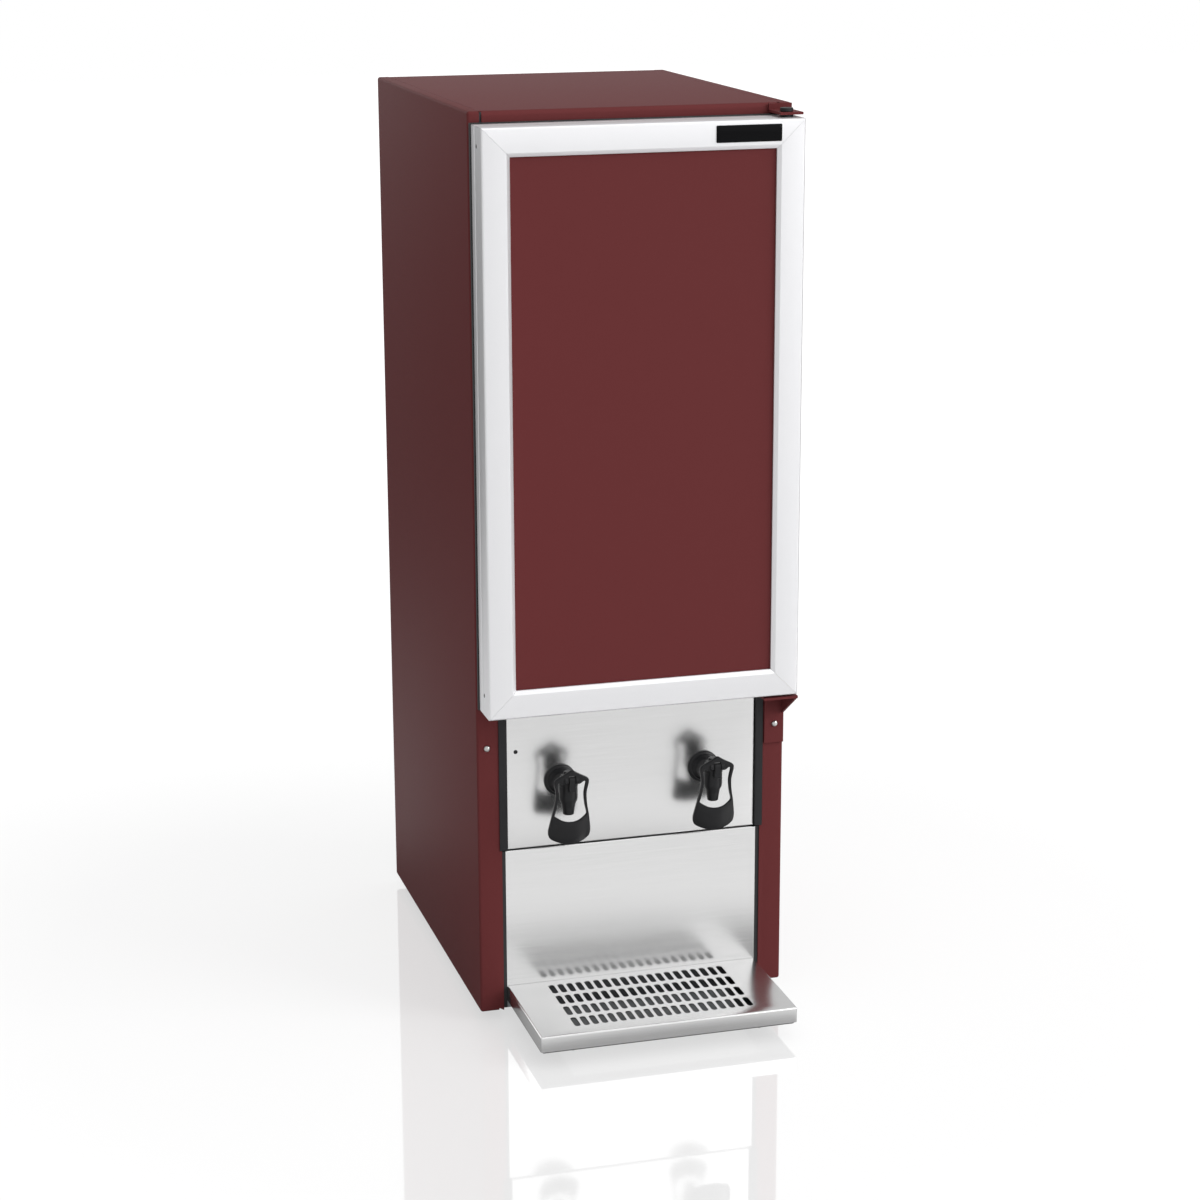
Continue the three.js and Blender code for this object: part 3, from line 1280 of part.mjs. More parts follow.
piece(cabinet, "flange_screw_left", flangeScrew(), STEEL, [-screwX, -FIT, SCREW_HEIGHT]);
piece(cabinet, "flange_screw_right", flangeScrew(), STEEL, [screwX, leafFront - FIT, SCREW_HEIGHT]);

piece(coldSpace, "inner_liner", innerLiner(), WHITE);
piece(coldSpace, "shelf", wireShelf(), STEEL);
piece(coldSpace, "evaporator_cover", evaporatorCover(), WHITE);
piece(coldSpace, "evaporator", evaporator(), ALUMINIUM);
piece(coldSpace, "evaporator_fan_motor", coldFanMotor(), ENAMEL);
const coldFanY = coverFront + COVER_WALL + COLD_FAN_GAP + COLD_FAN_HUB / 2;
const coldFan = fan(COLD_FAN_RADIUS, COLD_FAN_HUB_RADIUS, COLD_FAN_HUB, COLD_SHAFT_RADIUS);
piece(coldSpace, "evaporator_fan", coldFan, BLACK, [0, coldFanY, coldFanZ]);
const knobPlace = [knobX, coverFront - FIT, coverBottom + KNOB_LIFT];
piece(coldSpace, "thermostat_knob", thermostatKnob(), BLACK, knobPlace);

piece(machine, "compressor", compressor(), ENAMEL, [compressorX, compressorY, 0]);
piece(machine, "condenser", condenser(), ALUMINIUM);
piece(machine, "condenser_fan_motor", warmFanMotor(), ENAMEL);
const warmFan = fan(WARM_FAN_RADIUS, WARM_FAN_HUB_RADIUS, WARM_FAN_HUB, WARM_SHAFT_RADIUS);
piece(machine, "condenser_fan", warmFan, BLACK, [warmFanX, warmFanY, WARM_FAN_HEIGHT]);
piece(machine, "condensate_pan", condensatePan(), BLACK);
piece(machine, "electrical_box", electricalBox(), BLACK);

piece(door, "door_stile_left", doorStile(-1), ALUMINIUM);
piece(door, "door_stile_right", doorStile(1), ALUMINIUM);
piece(door, "door_rail_bottom", doorRail(-1), ALUMINIUM);
piece(door, "door_rail_top", doorRail(1), ALUMINIUM);
piece(door, "door_panel", doorPanel(), PAINT);
piece(door, "door_foam", doorFoam(), FOAM);
piece(door, "door_liner", doorLiner(), WHITE);
piece(door, "door_gasket", doorGasket(), RUBBER);
piece(door, "name_plate", namePlate(), BLACK);

for (const [side, name] of [[-1, "left"], [1, "right"]]) {
  const tap = new THREE.Group();
  tap.position.set((side * TAP_SPACING) / 2, 0, TAP_HEIGHT);
  dispenser.add(tap);
  piece(tap, `tap_body_${name}`, tapBody(), BLACK);
  piece(tap, `tap_bonnet_${name}`, tapBonnet(), BLACK);
  piece(tap, `tap_stem_${name}`, tapStem(), BLACK, [0, tapAxisY, 0]);
  piece(tap, `tap_spring_${name}`, tapSpring(), STEEL, [0, tapAxisY, 0]);
  piece(tap, `tap_lever_${name}`, tapLever(), BLACK, [0, pivotY, PIVOT_HEIGHT]);
  piece(tap, `wine_hose_${name}`, wineHose(), CLEAR);
  piece(tap, `bag_connector_${name}`, bagConnector(), WHITE, [0, HOSE_RISE_Y, -TAP_HEIGHT]);
}

piece(tray, "drip_tray", dripTray(), STEEL);
piece(tray, "drip_grille", dripGrille(), STEEL);

export default dispenser;
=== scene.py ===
import json
import math

import bmesh
import bpy
from mathutils import Matrix, Vector


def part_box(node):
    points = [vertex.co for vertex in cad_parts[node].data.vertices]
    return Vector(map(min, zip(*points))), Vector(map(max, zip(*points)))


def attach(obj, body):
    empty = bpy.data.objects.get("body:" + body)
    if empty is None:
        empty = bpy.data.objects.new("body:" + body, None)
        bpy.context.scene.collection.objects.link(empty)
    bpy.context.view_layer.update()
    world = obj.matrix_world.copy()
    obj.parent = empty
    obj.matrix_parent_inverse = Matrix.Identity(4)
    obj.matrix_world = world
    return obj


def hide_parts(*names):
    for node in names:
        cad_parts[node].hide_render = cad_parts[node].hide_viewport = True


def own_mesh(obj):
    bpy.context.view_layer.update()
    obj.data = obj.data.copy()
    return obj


bl_info = {
    "name": "Wine dispenser",
    "version": (1, 0, 0),
    "blender": (4, 5, 0),
    "location": "View3D > Sidebar > Dispenser",
    "description": "Builds the looks of a refrigerated two-tap wine dispenser",
    "category": "Add Mesh",
}

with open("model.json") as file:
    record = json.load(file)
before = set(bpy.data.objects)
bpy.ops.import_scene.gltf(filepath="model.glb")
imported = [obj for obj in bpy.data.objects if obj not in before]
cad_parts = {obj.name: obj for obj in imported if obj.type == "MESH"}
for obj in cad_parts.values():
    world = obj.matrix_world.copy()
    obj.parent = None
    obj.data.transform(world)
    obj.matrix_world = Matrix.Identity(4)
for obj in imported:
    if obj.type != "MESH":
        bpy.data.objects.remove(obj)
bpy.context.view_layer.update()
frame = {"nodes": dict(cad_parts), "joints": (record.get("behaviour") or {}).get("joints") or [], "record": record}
PIVOTS = {j["name"]: Vector(j["pos_m"]) for j in frame["joints"] if "pos_m" in j}
MM = 0.001
SIDES = (("left", -1), ("right", 1))


def hex_to_linear(code):
    """An sRGB hex colour as linear red, green, blue."""
    shares = [int(code[i:i + 2], 16) / 255 for i in (1, 3, 5)]
    return tuple(c / 12.92 if c <= 0.04045 else ((c + 0.055) / 1.055) ** 2.4 for c in shares)


# Settings that a user would change


def length(name, millimetres, description):
    return bpy.props.FloatProperty(
        name=name, description=description, default=millimetres * MM, unit="LENGTH", precision=5
    )


def colour(name, code, description):
    return bpy.props.FloatVectorProperty(
        name=name, description=description, default=hex_to_linear(code), subtype="COLOR",
        min=0, max=1,
    )


class CabinetSettings(bpy.types.PropertyGroup):
    sheet: length("Sheet", 1, "Thickness of the folded cabinet sheet")
    bend: length("Bend", 2.6, "Outer radius of a fold in the cabinet sheet")
    top_bend: length("Top bend", 5, "Outer radius of the top panel's soft front fold")
    panel_bend: length("Panel bend", 1.2, "Outer radius of a fold in the steel panels")
    paint: colour("Paint", "#632f30", "Wine red paint of cabinet and door panel")
    steel: colour("Steel", "#eaeaea", "Brushed stainless steel")
    zinc: colour("Zinc", "#aeb2b6", "Zinc-plated sheet and pins")


class DoorSettings(bpy.types.PropertyGroup):
    face: length("Frame face", 24.5, "Flat front face of the frame bars")
    lip: length("Lip", 4, "Bevelled lip round the inset panel")
    edge: length("Edge", 2, "Rounding of the frame's outer edge")
    anodising: colour("Anodising", "#eeeef0", "Satin anodised aluminium of the frame")
    lining: colour("Lining", "#e9e9e5", "White plastic of the linings")


class TapSettings(bpy.types.PropertyGroup):
    plastic: colour("Plastic", "#18181a", "Black moulded plastic of the taps")
    half_width: length("Lever half width", 22.4, "Half the width of the lever's paddle")
    reach: length("Lever length", 70.5, "From the lever's pivot to its lower end")
    arms: length("Arm thickness", 4, "Thickness of the lever's two arms")
    paddle: length("Paddle thickness", 3, "Thickness of the bowed paddle")
    bow: length("Paddle bow", 38.5, "Radius that the paddle is bowed to")
    bulge: length("Paddle bulge", 5.3, "How far the paddle's middle stands before the arms")
    rake: bpy.props.FloatProperty(
        name="Rake", description="How far the lever hangs back under the spout",
        default=math.radians(9), subtype="ANGLE",
    )


class TraySettings(bpy.types.PropertyGroup):
    bend: length("Bend", 1.8, "Outer radius of the grille's folds")
    columns: bpy.props.IntProperty(name="Columns", description="Slots in a row", default=20, min=1)
    rows: bpy.props.IntProperty(name="Rows", description="Rows of slots", default=4, min=1)


class InsideSettings(bpy.types.PropertyGroup):
    fins: bpy.props.IntProperty(name="Fins", description="Spaces between a coil's fins",
                                default=42, min=2)
    coil_tube: length("Coil tube", 3.5, "Radius of the tube in a coil")
    shelf_wires: bpy.props.IntProperty(name="Shelf wires", description="Wires of the shelf",
                                       default=16, min=1)


class StageSettings(bpy.types.PropertyGroup):
    floor: colour("Floor", "#e6e6e6", "Pale floor")
    key: bpy.props.FloatProperty(name="Key", description="Watts of the lamp in front", default=245)
    top: bpy.props.FloatProperty(name="Top", description="Watts of the lamp above", default=8)
    fill: bpy.props.FloatProperty(name="Fill", description="Watts of the lamp behind", default=8)
    lens: bpy.props.FloatProperty(name="Lens", description="Focal length", default=84.43)


# Node and material tools


def add(tree, kind, inputs=None, **settings):
    """A new node with its settings, and its inputs set or linked."""
    node = tree.nodes.new(kind)
    for name, value in settings.items():
        setattr(node, name, value)
    for name, value in (inputs or {}).items():
        if isinstance(value, bpy.types.NodeSocket):
            tree.links.new(value, node.inputs[name])
        else:
            node.inputs[name].default_value = value
    return node


def start_material(name, base, **sockets):
    """A Principled material with its plain values set on the shader's own sockets."""
    material = bpy.data.materials.new(name)
    material.use_nodes = True
    tree = material.node_tree
    tree.nodes.clear()
    shader = add(tree, "ShaderNodeBsdfPrincipled", {"Base Color": (*base, 1), **sockets})
    add(tree, "ShaderNodeOutputMaterial", {"Surface": shader.outputs[0]})
    place = add(tree, "ShaderNodeTexCoord").outputs["Object"]
    return material, tree, shader, place


def calculate(tree, operation, first, second):
    return add(tree, "ShaderNodeMath", {0: first, 1: second}, operation=operation).outputs[0]


def along(tree, vector, side):
    """How far a vector reaches towards a side."""
    return add(tree, "ShaderNodeVectorMath", {0: vector, 1: side},
               operation="DOT_PRODUCT").outputs["Value"]


def spread(tree, value, low, high, start, end):
    """The range of a value from low to high, laid over start to end."""
    return add(tree, "ShaderNodeMapRange",
               {0: value, 1: low, 2: high, 3: start, 4: end}).outputs[0]


def covered(tree, share, under, *cover):
    """A share of a cover over a shader. Where no cover is named it is black."""
    return add(tree, "ShaderNodeMixShader",
               dict(enumerate((share, under, *cover)))).outputs[0]


def grained(name, base, grain, shades, finish, height, stretch=(1, 1, 1), detail=3, **sockets):
    """A material with a noise of its real grain in metres, which moves its colour, roughness
    and bump a little."""
    made, tree, shader, place = start_material(name, base, **sockets)
    scale = [1 / (grain * s) for s in stretch]
    held = add(tree, "ShaderNodeMapping", {"Vector": place, "Scale": scale})
    noise = add(tree, "ShaderNodeTexNoise", {"Vector": held.outputs[0], "Scale": 1.0,
                                             "Detail": float(detail), "Roughness": 0.6}).outputs[0]
    low, high = ([min(1, c * s) for c in base] for s in shades)
    tint = add(tree, "ShaderNodeMix", {0: noise, 6: (*low, 1), 7: (*high, 1)}, data_type="RGBA")
    tree.links.new(tint.outputs[2], shader.inputs["Base Color"])
    tree.links.new(spread(tree, noise, 0, 1, *finish), shader.inputs["Roughness"])
    bump = add(tree, "ShaderNodeBump", {"Height": noise, "Strength": 1.0, "Distance": height})
    tree.links.new(bump.outputs[0], shader.inputs["Normal"])
    return made


def painted_steel(settings):
    """Oven-cured wine red paint on steel: an even semi-gloss coat with faint orange peel."""
    return grained("painted_steel", tuple(settings.paint), 2.2 * MM, (0.95, 1.05), (0.46, 0.56),
                   0.012 * MM, **{"Specular IOR Level": 0.05})


def brushed_stainless(settings):
    """Stainless sheet brushed across: fine lines along X that stretch each reflection upright.
    The real lines are 0.05 mm wide and are drawn 0.5 mm wide so that they show."""
    return grained("brushed_stainless", tuple(settings.steel), 0.5 * MM, (0.9, 1.06), (0.18, 0.28),
                   0.004 * MM, stretch=(160, 160, 1), detail=2, Metallic=1.0)


def pan_stainless_painted_shade():
    """Deep-drawn stainless sheet, left dull inside the tray, and given a darker colour than the grille's steel as
    painted shade under the grille.
    """
    return grained("pan_stainless_painted_shade", hex_to_linear("#7c7d7f"), 2 * MM, (0.9, 1.08), (0.38, 0.5),
                   0.01 * MM, Metallic=1.0)


def anodised_aluminium(settings):
    """Extruded section, etched and clear anodised: a pale satin metal with faint drawing lines."""
    return grained("anodised_aluminium", tuple(settings.anodising), 0.8 * MM, (0.97, 1.02),
                   (0.32, 0.4), 0.003 * MM, Metallic=0.75)


def moulded_plastic(name, base, finish, shine=0.5):
    """Injection-moulded plastic with the fine spark-eroded grain that its mould leaves."""
    return grained(name, base, 0.9 * MM, (0.92, 1.08), finish, 0.01 * MM, IOR=1.52,
                   **{"Specular IOR Level": shine})


def gasket_rubber():
    """Extruded soft PVC, dull and slightly dusty."""
    return grained("gasket_pvc", hex_to_linear("#232325"), 3 * MM, (0.85, 1.15), (0.6, 0.75),
                   0.03 * MM, IOR=1.5)


def insulating_foam():
    """Polyurethane foamed in place: pale yellow cells under a thin skin."""
    return grained("polyurethane_foam", hex_to_linear("#dcc994"), 1.5 * MM, (0.8, 1.1),
                   (0.85, 0.95), 0.3 * MM, IOR=1.45)


def zinc_plated(settings):
    """Zinc-plated steel, passivated: soft grey with large faint spangle."""
    return grained("zinc_plated_steel", tuple(settings.zinc), 9 * MM, (0.85, 1.1), (0.4, 0.55),
                   0.01 * MM, Metallic=0.9)


def black_enamel():
    """Stoved black enamel on steel, glossy over a slightly rough casting."""
    return grained("black_enamel", hex_to_linear("#1b1c1e"), 4 * MM, (0.85, 1.2), (0.35, 0.5),
                   0.05 * MM, **{"Coat Weight": 0.4})


def mill_aluminium():
    """Bare rolled aluminium of fins, with lines along the rolling."""
    return grained("mill_aluminium", hex_to_linear("#c9cbcd"), 0.6 * MM, (0.9, 1.05), (0.35, 0.5),
                   0.005 * MM, stretch=(1, 1, 60), Metallic=1.0)


def drawn_copper():
    """Drawn copper tube, browned a little by handling."""
    return grained("drawn_copper", hex_to_linear("#b87350"), 6 * MM, (0.75, 1.1), (0.25, 0.45),
                   0.01 * MM, Metallic=1.0)


def clear_hose():
    """Food-grade PVC hose, milky where it bends."""
    return grained("clear_hose_pvc", hex_to_linear("#cfd8d4"), 5 * MM, (0.9, 1.05), (0.15, 0.3),
                   0.02 * MM, IOR=1.53, **{"Transmission Weight": 0.5})


def bare_steel_wire():
    """Stainless spring wire and screws, bright and lightly scuffed."""
    return grained("bright_steel", hex_to_linear("#c6c6c4"), 1.2 * MM, (0.9, 1.05), (0.22, 0.36),
                   0.005 * MM, Metallic=1.0)


FINISHES = {}


def make_finishes():
    scene = bpy.context.scene
    cabinet, door, tap = scene.wine_cabinet, scene.wine_door, scene.wine_taps
    FINISHES.update(
        paint=painted_steel(cabinet),
        steel=brushed_stainless(cabinet),
        drawn=pan_stainless_painted_shade(),
        # The pan's steel is darkened: painted shade under the grille.
        zinc=zinc_plated(cabinet),
        aluminium=anodised_aluminium(door),
        lining=moulded_plastic("white_polystyrene", tuple(door.lining), (0.32, 0.42)),
        black=moulded_plastic("black_abs", tuple(tap.plastic), (0.26, 0.36), 0.25),
        trim=moulded_plastic("matt_black_abs", hex_to_linear("#222224"), (0.45, 0.55), 0.25),
        plate=moulded_plastic("black_acrylic_plate", hex_to_linear("#050507"), (0.1, 0.14), 0.1),
        rubber=gasket_rubber(),
        foam=insulating_foam(),
        enamel=black_enamel(),
        fins=mill_aluminium(),
        copper=drawn_copper(),
        hose=clear_hose(),
        bright=bare_steel_wire(),
    )


# Mesh tools


def mesh_from(name, points, faces):
    mesh = bpy.data.meshes.new(name)
    mesh.from_pydata([tuple(p) for p in points], [], faces)
    return mesh


def piece(name, mesh, finish, body, replaced=(), edge=0.0, sharp=35, steps=2):
    """Names, smooths and finishes a mesh, and sets it riding on its CAD body."""
    if isinstance(mesh, bmesh.types.BMesh):
        made = bpy.data.meshes.new(name)
        mesh.to_mesh(made)
        mesh.free()
        mesh = made
    mesh.name = name
    mesh.materials.clear()
    mesh.materials.append(FINISHES[finish])
    mesh.shade_smooth()
    mesh.set_sharp_from_angle(angle=math.radians(sharp))
    obj = bpy.data.objects.new(name, mesh)
    bpy.context.scene.collection.objects.link(obj)
    if edge:
        bevel = obj.modifiers.new("Edges", "BEVEL")
        bevel.width = edge
        bevel.segments = steps
        bevel.limit_method = "ANGLE"
        bevel.angle_limit = math.radians(30)
        bevel.harden_normals = True
    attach(obj, body)
    if replaced:
        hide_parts(*replaced)
    return obj


def shown_mesh(obj):
    """The mesh that a throwaway object shows, with its modifiers applied."""
    bpy.context.scene.collection.objects.link(obj)
    bpy.context.view_layer.update()
    seen = obj.evaluated_get(bpy.context.evaluated_depsgraph_get())
    made = bpy.data.meshes.new_from_object(seen)
    bpy.data.objects.remove(obj)
    return made


def modified(name, mesh, kind, **settings):
    """A mesh with one modifier applied."""
    obj = bpy.data.objects.new(name, mesh)
    modifier = obj.modifiers.new(kind, kind)
    for key, value in settings.items():
        setattr(modifier, key, value)
    return shown_mesh(obj)


def join_meshes(*meshes):
    bm = bmesh.new()
    for mesh in meshes:
        bm.from_mesh(mesh)
        bpy.data.meshes.remove(mesh)
    return bm


def bend_points(before, corner, after, reach, steps):
    """Points of a bend that leaves both sides at the same reach from their corner."""
    start = corner + (before - corner).normalized() * reach
    end = corner + (after - corner).normalized() * reach
    shares = [k / steps for k in range(steps + 1)]
    return [start.lerp(corner, t).lerp(corner.lerp(end, t), t) for t in shares]


SIDE_SHARE = 0.49  # of a side that one bend may use


def filleted(points, radius, steps=4):
    """A closed outline with each corner rounded, as far as its sides allow. A corner given as
    (u, v, r) has its own radius."""
    flat = [Vector(p[:2]) for p in points]
    radii = [p[2] if len(p) > 2 else radius for p in points]
    out = []
    for i, corner in enumerate(flat):
        before, after = flat[i - 1], flat[(i + 1) % len(flat)]
        angle = (before - corner).angle(after - corner, math.pi)
        reach = radii[i] / math.tan(angle / 2) if 0.05 < angle < math.pi - 0.02 else 0
        reach = min(reach, (before - corner).length * SIDE_SHARE,
                    (after - corner).length * SIDE_SHARE)
        if reach < 1e-6:
            out.append(corner)
        else:
            out += bend_points(before, corner, after, reach, steps)
    return out


def rectangle(low_u, low_v, high_u, high_v):
    return [(low_u, low_v), (high_u, low_v), (high_u, high_v), (low_u, high_v)]


def prism(name, outline, axis, low, high):
    """A closed outline pushed along an axis. It is (y, z) for x, (x, z) for y, (x, y) for z."""
    order = {"x": lambda u, v, w: (w, u, v), "y": lambda u, v, w: (u, w, v),
             "z": lambda u, v, w: (u, v, w)}[axis]
    count = len(outline)
    points = [order(u, v, w) for w in (low, high) for u, v in outline]
    faces = [tuple(range(count)), tuple(range(2 * count - 1, count - 1, -1))]
    faces += [(i, i + count, (i + 1) % count + count, (i + 1) % count) for i in range(count)]
    mesh = mesh_from(name, points, faces)
    return consistent(mesh)


def consistent(mesh):
    bm = bmesh.new()
    bm.from_mesh(mesh)
    bmesh.ops.remove_doubles(bm, verts=bm.verts, dist=1e-7)
    bmesh.ops.recalc_face_normals(bm, faces=bm.faces)
    bm.to_mesh(mesh)
    bm.free()
    return mesh


def stacked(name, rings):
    """Rings of equally many points joined in turn, with the first and the last closed."""
    count = len(rings[0])
    points = [p for ring in rings for p in ring]
    faces = [tuple(range(count)), tuple(range((len(rings) - 1) * count, len(points)))]
    for first in range(0, (len(rings) - 1) * count, count):
        faces += [(first + i, first + (i + 1) % count, first + count + (i + 1) % count,
                   first + count + i) for i in range(count)]
    return consistent(mesh_from(name, points, faces))


def box_mesh(name, low, high):
    return prism(name, rectangle(low[0], low[1], high[0], high[1]), "z", low[2], high[2])


def heights(start, points):
    """Profile points from pairs of millimetres, whose heights count from a start."""
    return [(radius * MM, start + height * MM) for radius, height in points]


def grooves(radius, depth, first, pitch, count, width, slope=0.5 * MM):
    """Profile points of equal grooves in a part of the given radius, from the first one on."""
    points = []
    for at in (first + pitch * k for k in range(count)):
        points += [(radius, at), (radius - depth, at + slope),
                   (radius - depth, at + width - slope), (radius, at + width)]
    return points


def turned(name, profile, axis="z", centre=(0, 0, 0), sides=48):
    """A profile of (radius, height) turned about an axis and closed at its ends."""
    points, rings = [], []
    for radius, height in profile:
        if radius < 1e-7:
            rings.append([len(points)] * sides)
            points.append((0, 0, height))
            continue
        rings.append(list(range(len(points), len(points) + sides)))
        points += [(radius * math.cos(2 * math.pi * i / sides),
                    radius * math.sin(2 * math.pi * i / sides), height) for i in range(sides)]
    faces = []
    for first, second in zip(rings, rings[1:]):
        for i in range(sides):
            j = (i + 1) % sides
            face = [first[i], first[j], second[j], second[i]]
            faces.append(tuple(dict.fromkeys(face)))
    closed = profile[0] == profile[-1]
    if closed:
        for i in range(sides):
            j = (i + 1) % sides
            last = rings[-1]
            faces.append((last[i], last[j], rings[0][j], rings[0][i]))
    mesh = mesh_from(name, points, [f for f in faces if len(f) > 2])
    turn = {"z": Matrix.Identity(4), "y": Matrix.Rotation(math.radians(-90), 4, "X"),
            "x": Matrix.Rotation(math.radians(90), 4, "Y")}[axis]
    mesh.transform(Matrix.Translation(centre) @ turn)
    return consistent(mesh)


def tube(name, path, radius, sides=16, closed=False, bore=0.0):
    """A round bar or hose along points, with its ends closed."""
    points = [Vector(p) for p in path]
    count = len(points)
    rings = []
    normal = None
    radii = [radius] if not bore else [radius, bore]
    out, faces = [], []
    for i, point in enumerate(points):
        after = points[(i + 1) % count] if closed or i + 1 < count else point
        before = points[i - 1] if closed or i else point
        ahead = (after - before).normalized()
        if normal is None:
            normal = ahead.orthogonal().normalized()
        normal = (normal - ahead * normal.dot(ahead)).normalized()
        side = ahead.cross(normal)
        ring = []
        for r in radii:
            ring.append(range(len(out), len(out) + sides))
            for k in range(sides):
                a = 2 * math.pi * k / sides
                out.append(point + (normal * math.cos(a) + side * math.sin(a)) * r)
        rings.append(ring)
    pairs = list(zip(rings, rings[1:])) + ([(rings[-1], rings[0])] if closed else [])
    for first, second in pairs:
        for layer in range(len(radii)):
            for k in range(sides):
                j = (k + 1) % sides
                faces.append((first[layer][k], first[layer][j], second[layer][j],
                              second[layer][k]))
    if not closed:
        for ring in (rings[0], rings[-1]):
            if bore:
                faces += [(ring[0][k], ring[0][(k + 1) % sides], ring[1][(k + 1) % sides],
                           ring[1][k]) for k in range(sides)]
            else:
                faces.append(tuple(ring[0]))
    return consistent(mesh_from(name, out, faces))


def rounded_path(points, radius, steps=6, closed=False):
    """A route through points with a bend of the given reach at each inner one."""
    points = [Vector(p) for p in points]
    out = [] if closed else [points[0]]
    count = len(points)
    for i in (range(count) if closed else range(1, count - 1)):
        before, corner, after = points[i - 1], points[i], points[(i + 1) % count]
        reach = min(radius, (before - corner).length * SIDE_SHARE,
                    (after - corner).length * SIDE_SHARE)
        out += bend_points(before, corner, after, reach, steps)
    return out if closed else [*out, points[-1]]


def formed_sheet(name, corners, faces, inside, thickness, bend, steps=4):
    """Sheet metal given as the flat faces of its outer side: shared edges become bends."""
    bm = bmesh.new()
    verts = {key: bm.verts.new(place) for key, place in corners.items()}
    for face in faces:
        bm.faces.new([verts[key] for key in face])
    bmesh.ops.recalc_face_normals(bm, faces=bm.faces)
    bm.normal_update()
    first = bm.faces[:]
    lean = sum((f.calc_center_median() - Vector(inside)).dot(f.normal) * f.calc_area()
               for f in first)
    if lean < 0:
        bmesh.ops.reverse_faces(bm, faces=first)
    bends = [e for e in bm.edges if len(e.link_faces) == 2 and e.calc_face_angle(0) > 0.2]
    if bends:
        bmesh.ops.bevel(bm, geom=bends, offset=bend, segments=steps, profile=0.5,
                        affect="EDGES", clamp_overlap=True)
    flat = bpy.data.meshes.new(name)
    bm.to_mesh(flat)
    bm.free()
    return modified(name, flat, "SOLIDIFY", thickness=thickness, offset=-1, use_even_offset=True)


BOX_SIDES = {"front": "abfe", "rear": "dcgh", "left": "adhe", "right": "bcgf", "bottom": "abcd",
             "top": "efgh"}


def folded_box(name, low, high, sides, thickness, bend):
    """Sheet metal along some sides of a box, with a bend where two of them meet."""
    corners = dict(zip("abcdefgh", [(x, y, z) for z in (low.z, high.z)
                                    for x, y in rectangle(low.x, low.y, high.x, high.y)]))
    return formed_sheet(name, corners, [BOX_SIDES[side] for side in sides], (low + high) / 2,
                        thickness, bend)


def carved(name, mesh, cutters):
    """A mesh with the volume of the cutters taken away."""
    cutter_bm = join_meshes(*cutters)
    cutter_mesh = bpy.data.meshes.new(name + "_cut")
    cutter_bm.to_mesh(cutter_mesh)
    cutter_bm.free()
    cutter = bpy.data.objects.new(name + "_cut", cutter_mesh)
    bpy.context.scene.collection.objects.link(cutter)
    made = modified(name, mesh, "BOOLEAN", operation="DIFFERENCE", object=cutter,
                    solver="EXACT", use_self=True)
    bpy.data.objects.remove(cutter)
    return made


def mirrored(mesh):
    """A mesh turned over to the other side of the middle plane."""
    mesh.transform(Matrix.Diagonal((-1, 1, 1, 1)))
    mesh.flip_normals()
    return mesh


def sided(mesh, side):
    """A mesh made for the right, on the side asked for."""
    return mesh if side > 0 else mirrored(mesh)


def merged_copy(node):
    """A CAD node's mesh with its loose triangles merged into clean faces."""
    mesh = frame["nodes"][node].data.copy()
    bm = bmesh.new()
    bm.from_mesh(mesh)
    bmesh.ops.remove_doubles(bm, verts=bm.verts, dist=1e-6)
    bmesh.ops.dissolve_limit(bm, angle_limit=math.radians(1), verts=bm.verts, edges=bm.edges)
    bm.to_mesh(mesh)
    bm.free()
    return mesh


# Geometry node trees for what repeats


def start_tree(name, sizes):
    """A geometry tree with a geometry in and out and named sizes between."""
    tree = bpy.data.node_groups.new(name, "GeometryNodeTree")
    ports = tree.interface
    ports.new_socket("Geometry", in_out="INPUT", socket_type="NodeSocketGeometry")
    for label, (kind, value) in sizes.items():
        socket = ports.new_socket(label, in_out="INPUT", socket_type="NodeSocket" + kind)
        socket.default_value = value
    ports.new_socket("Finish", in_out="INPUT", socket_type="NodeSocketMaterial")
    ports.new_socket("Geometry", in_out="OUTPUT", socket_type="NodeSocketGeometry")
    return tree, add(tree, "NodeGroupInput").outputs


def finish_tree(tree, geometry, material):
    real = add(tree, "GeometryNodeRealizeInstances", {0: geometry})
    painted = add(tree, "GeometryNodeSetMaterial", {0: real.outputs[0], "Material": material})
    add(tree, "NodeGroupOutput", {0: painted.outputs[0]})
    return tree


def vector(tree, **axes):
    return add(tree, "ShaderNodeCombineXYZ", axes).outputs[0]


def transformed(tree, geometry, **change):
    return add(tree, "GeometryNodeTransform", {"Geometry": geometry, **change}).outputs[0]


def joined(tree, *parts):
    join = add(tree, "GeometryNodeJoinGeometry")
    for part in parts:
        tree.links.new(part, join.inputs[0])
    return join.outputs[0]


def on_points(tree, points, shape, **turn):
    """A copy of a shape on each point."""
    return add(tree, "GeometryNodeInstanceOnPoints",
               {"Points": points, "Instance": shape, **turn}).outputs[0]


def cut_from(tree, whole, cutter, solver="FLOAT"):
    return add(tree, "GeometryNodeMeshBoolean", {"Mesh 1": whole, "Mesh 2": cutter},
               operation="DIFFERENCE", solver=solver).outputs[0]


def grown(name, mesh, tree, values):
    """The plain mesh that a geometry tree makes of a mesh."""
    obj = bpy.data.objects.new(name, mesh)
    modifier = obj.modifiers.new("Nodes", "NODES")
    modifier.node_group = tree
    for item in tree.interface.items_tree:
        if item.in_out == "INPUT" and item.name in values:
            modifier[item.identifier] = values[item.name]
    return shown_mesh(obj)


RECESS_REACH = 1.1  # a recess bar's length over the head's radius, so that it cuts right through


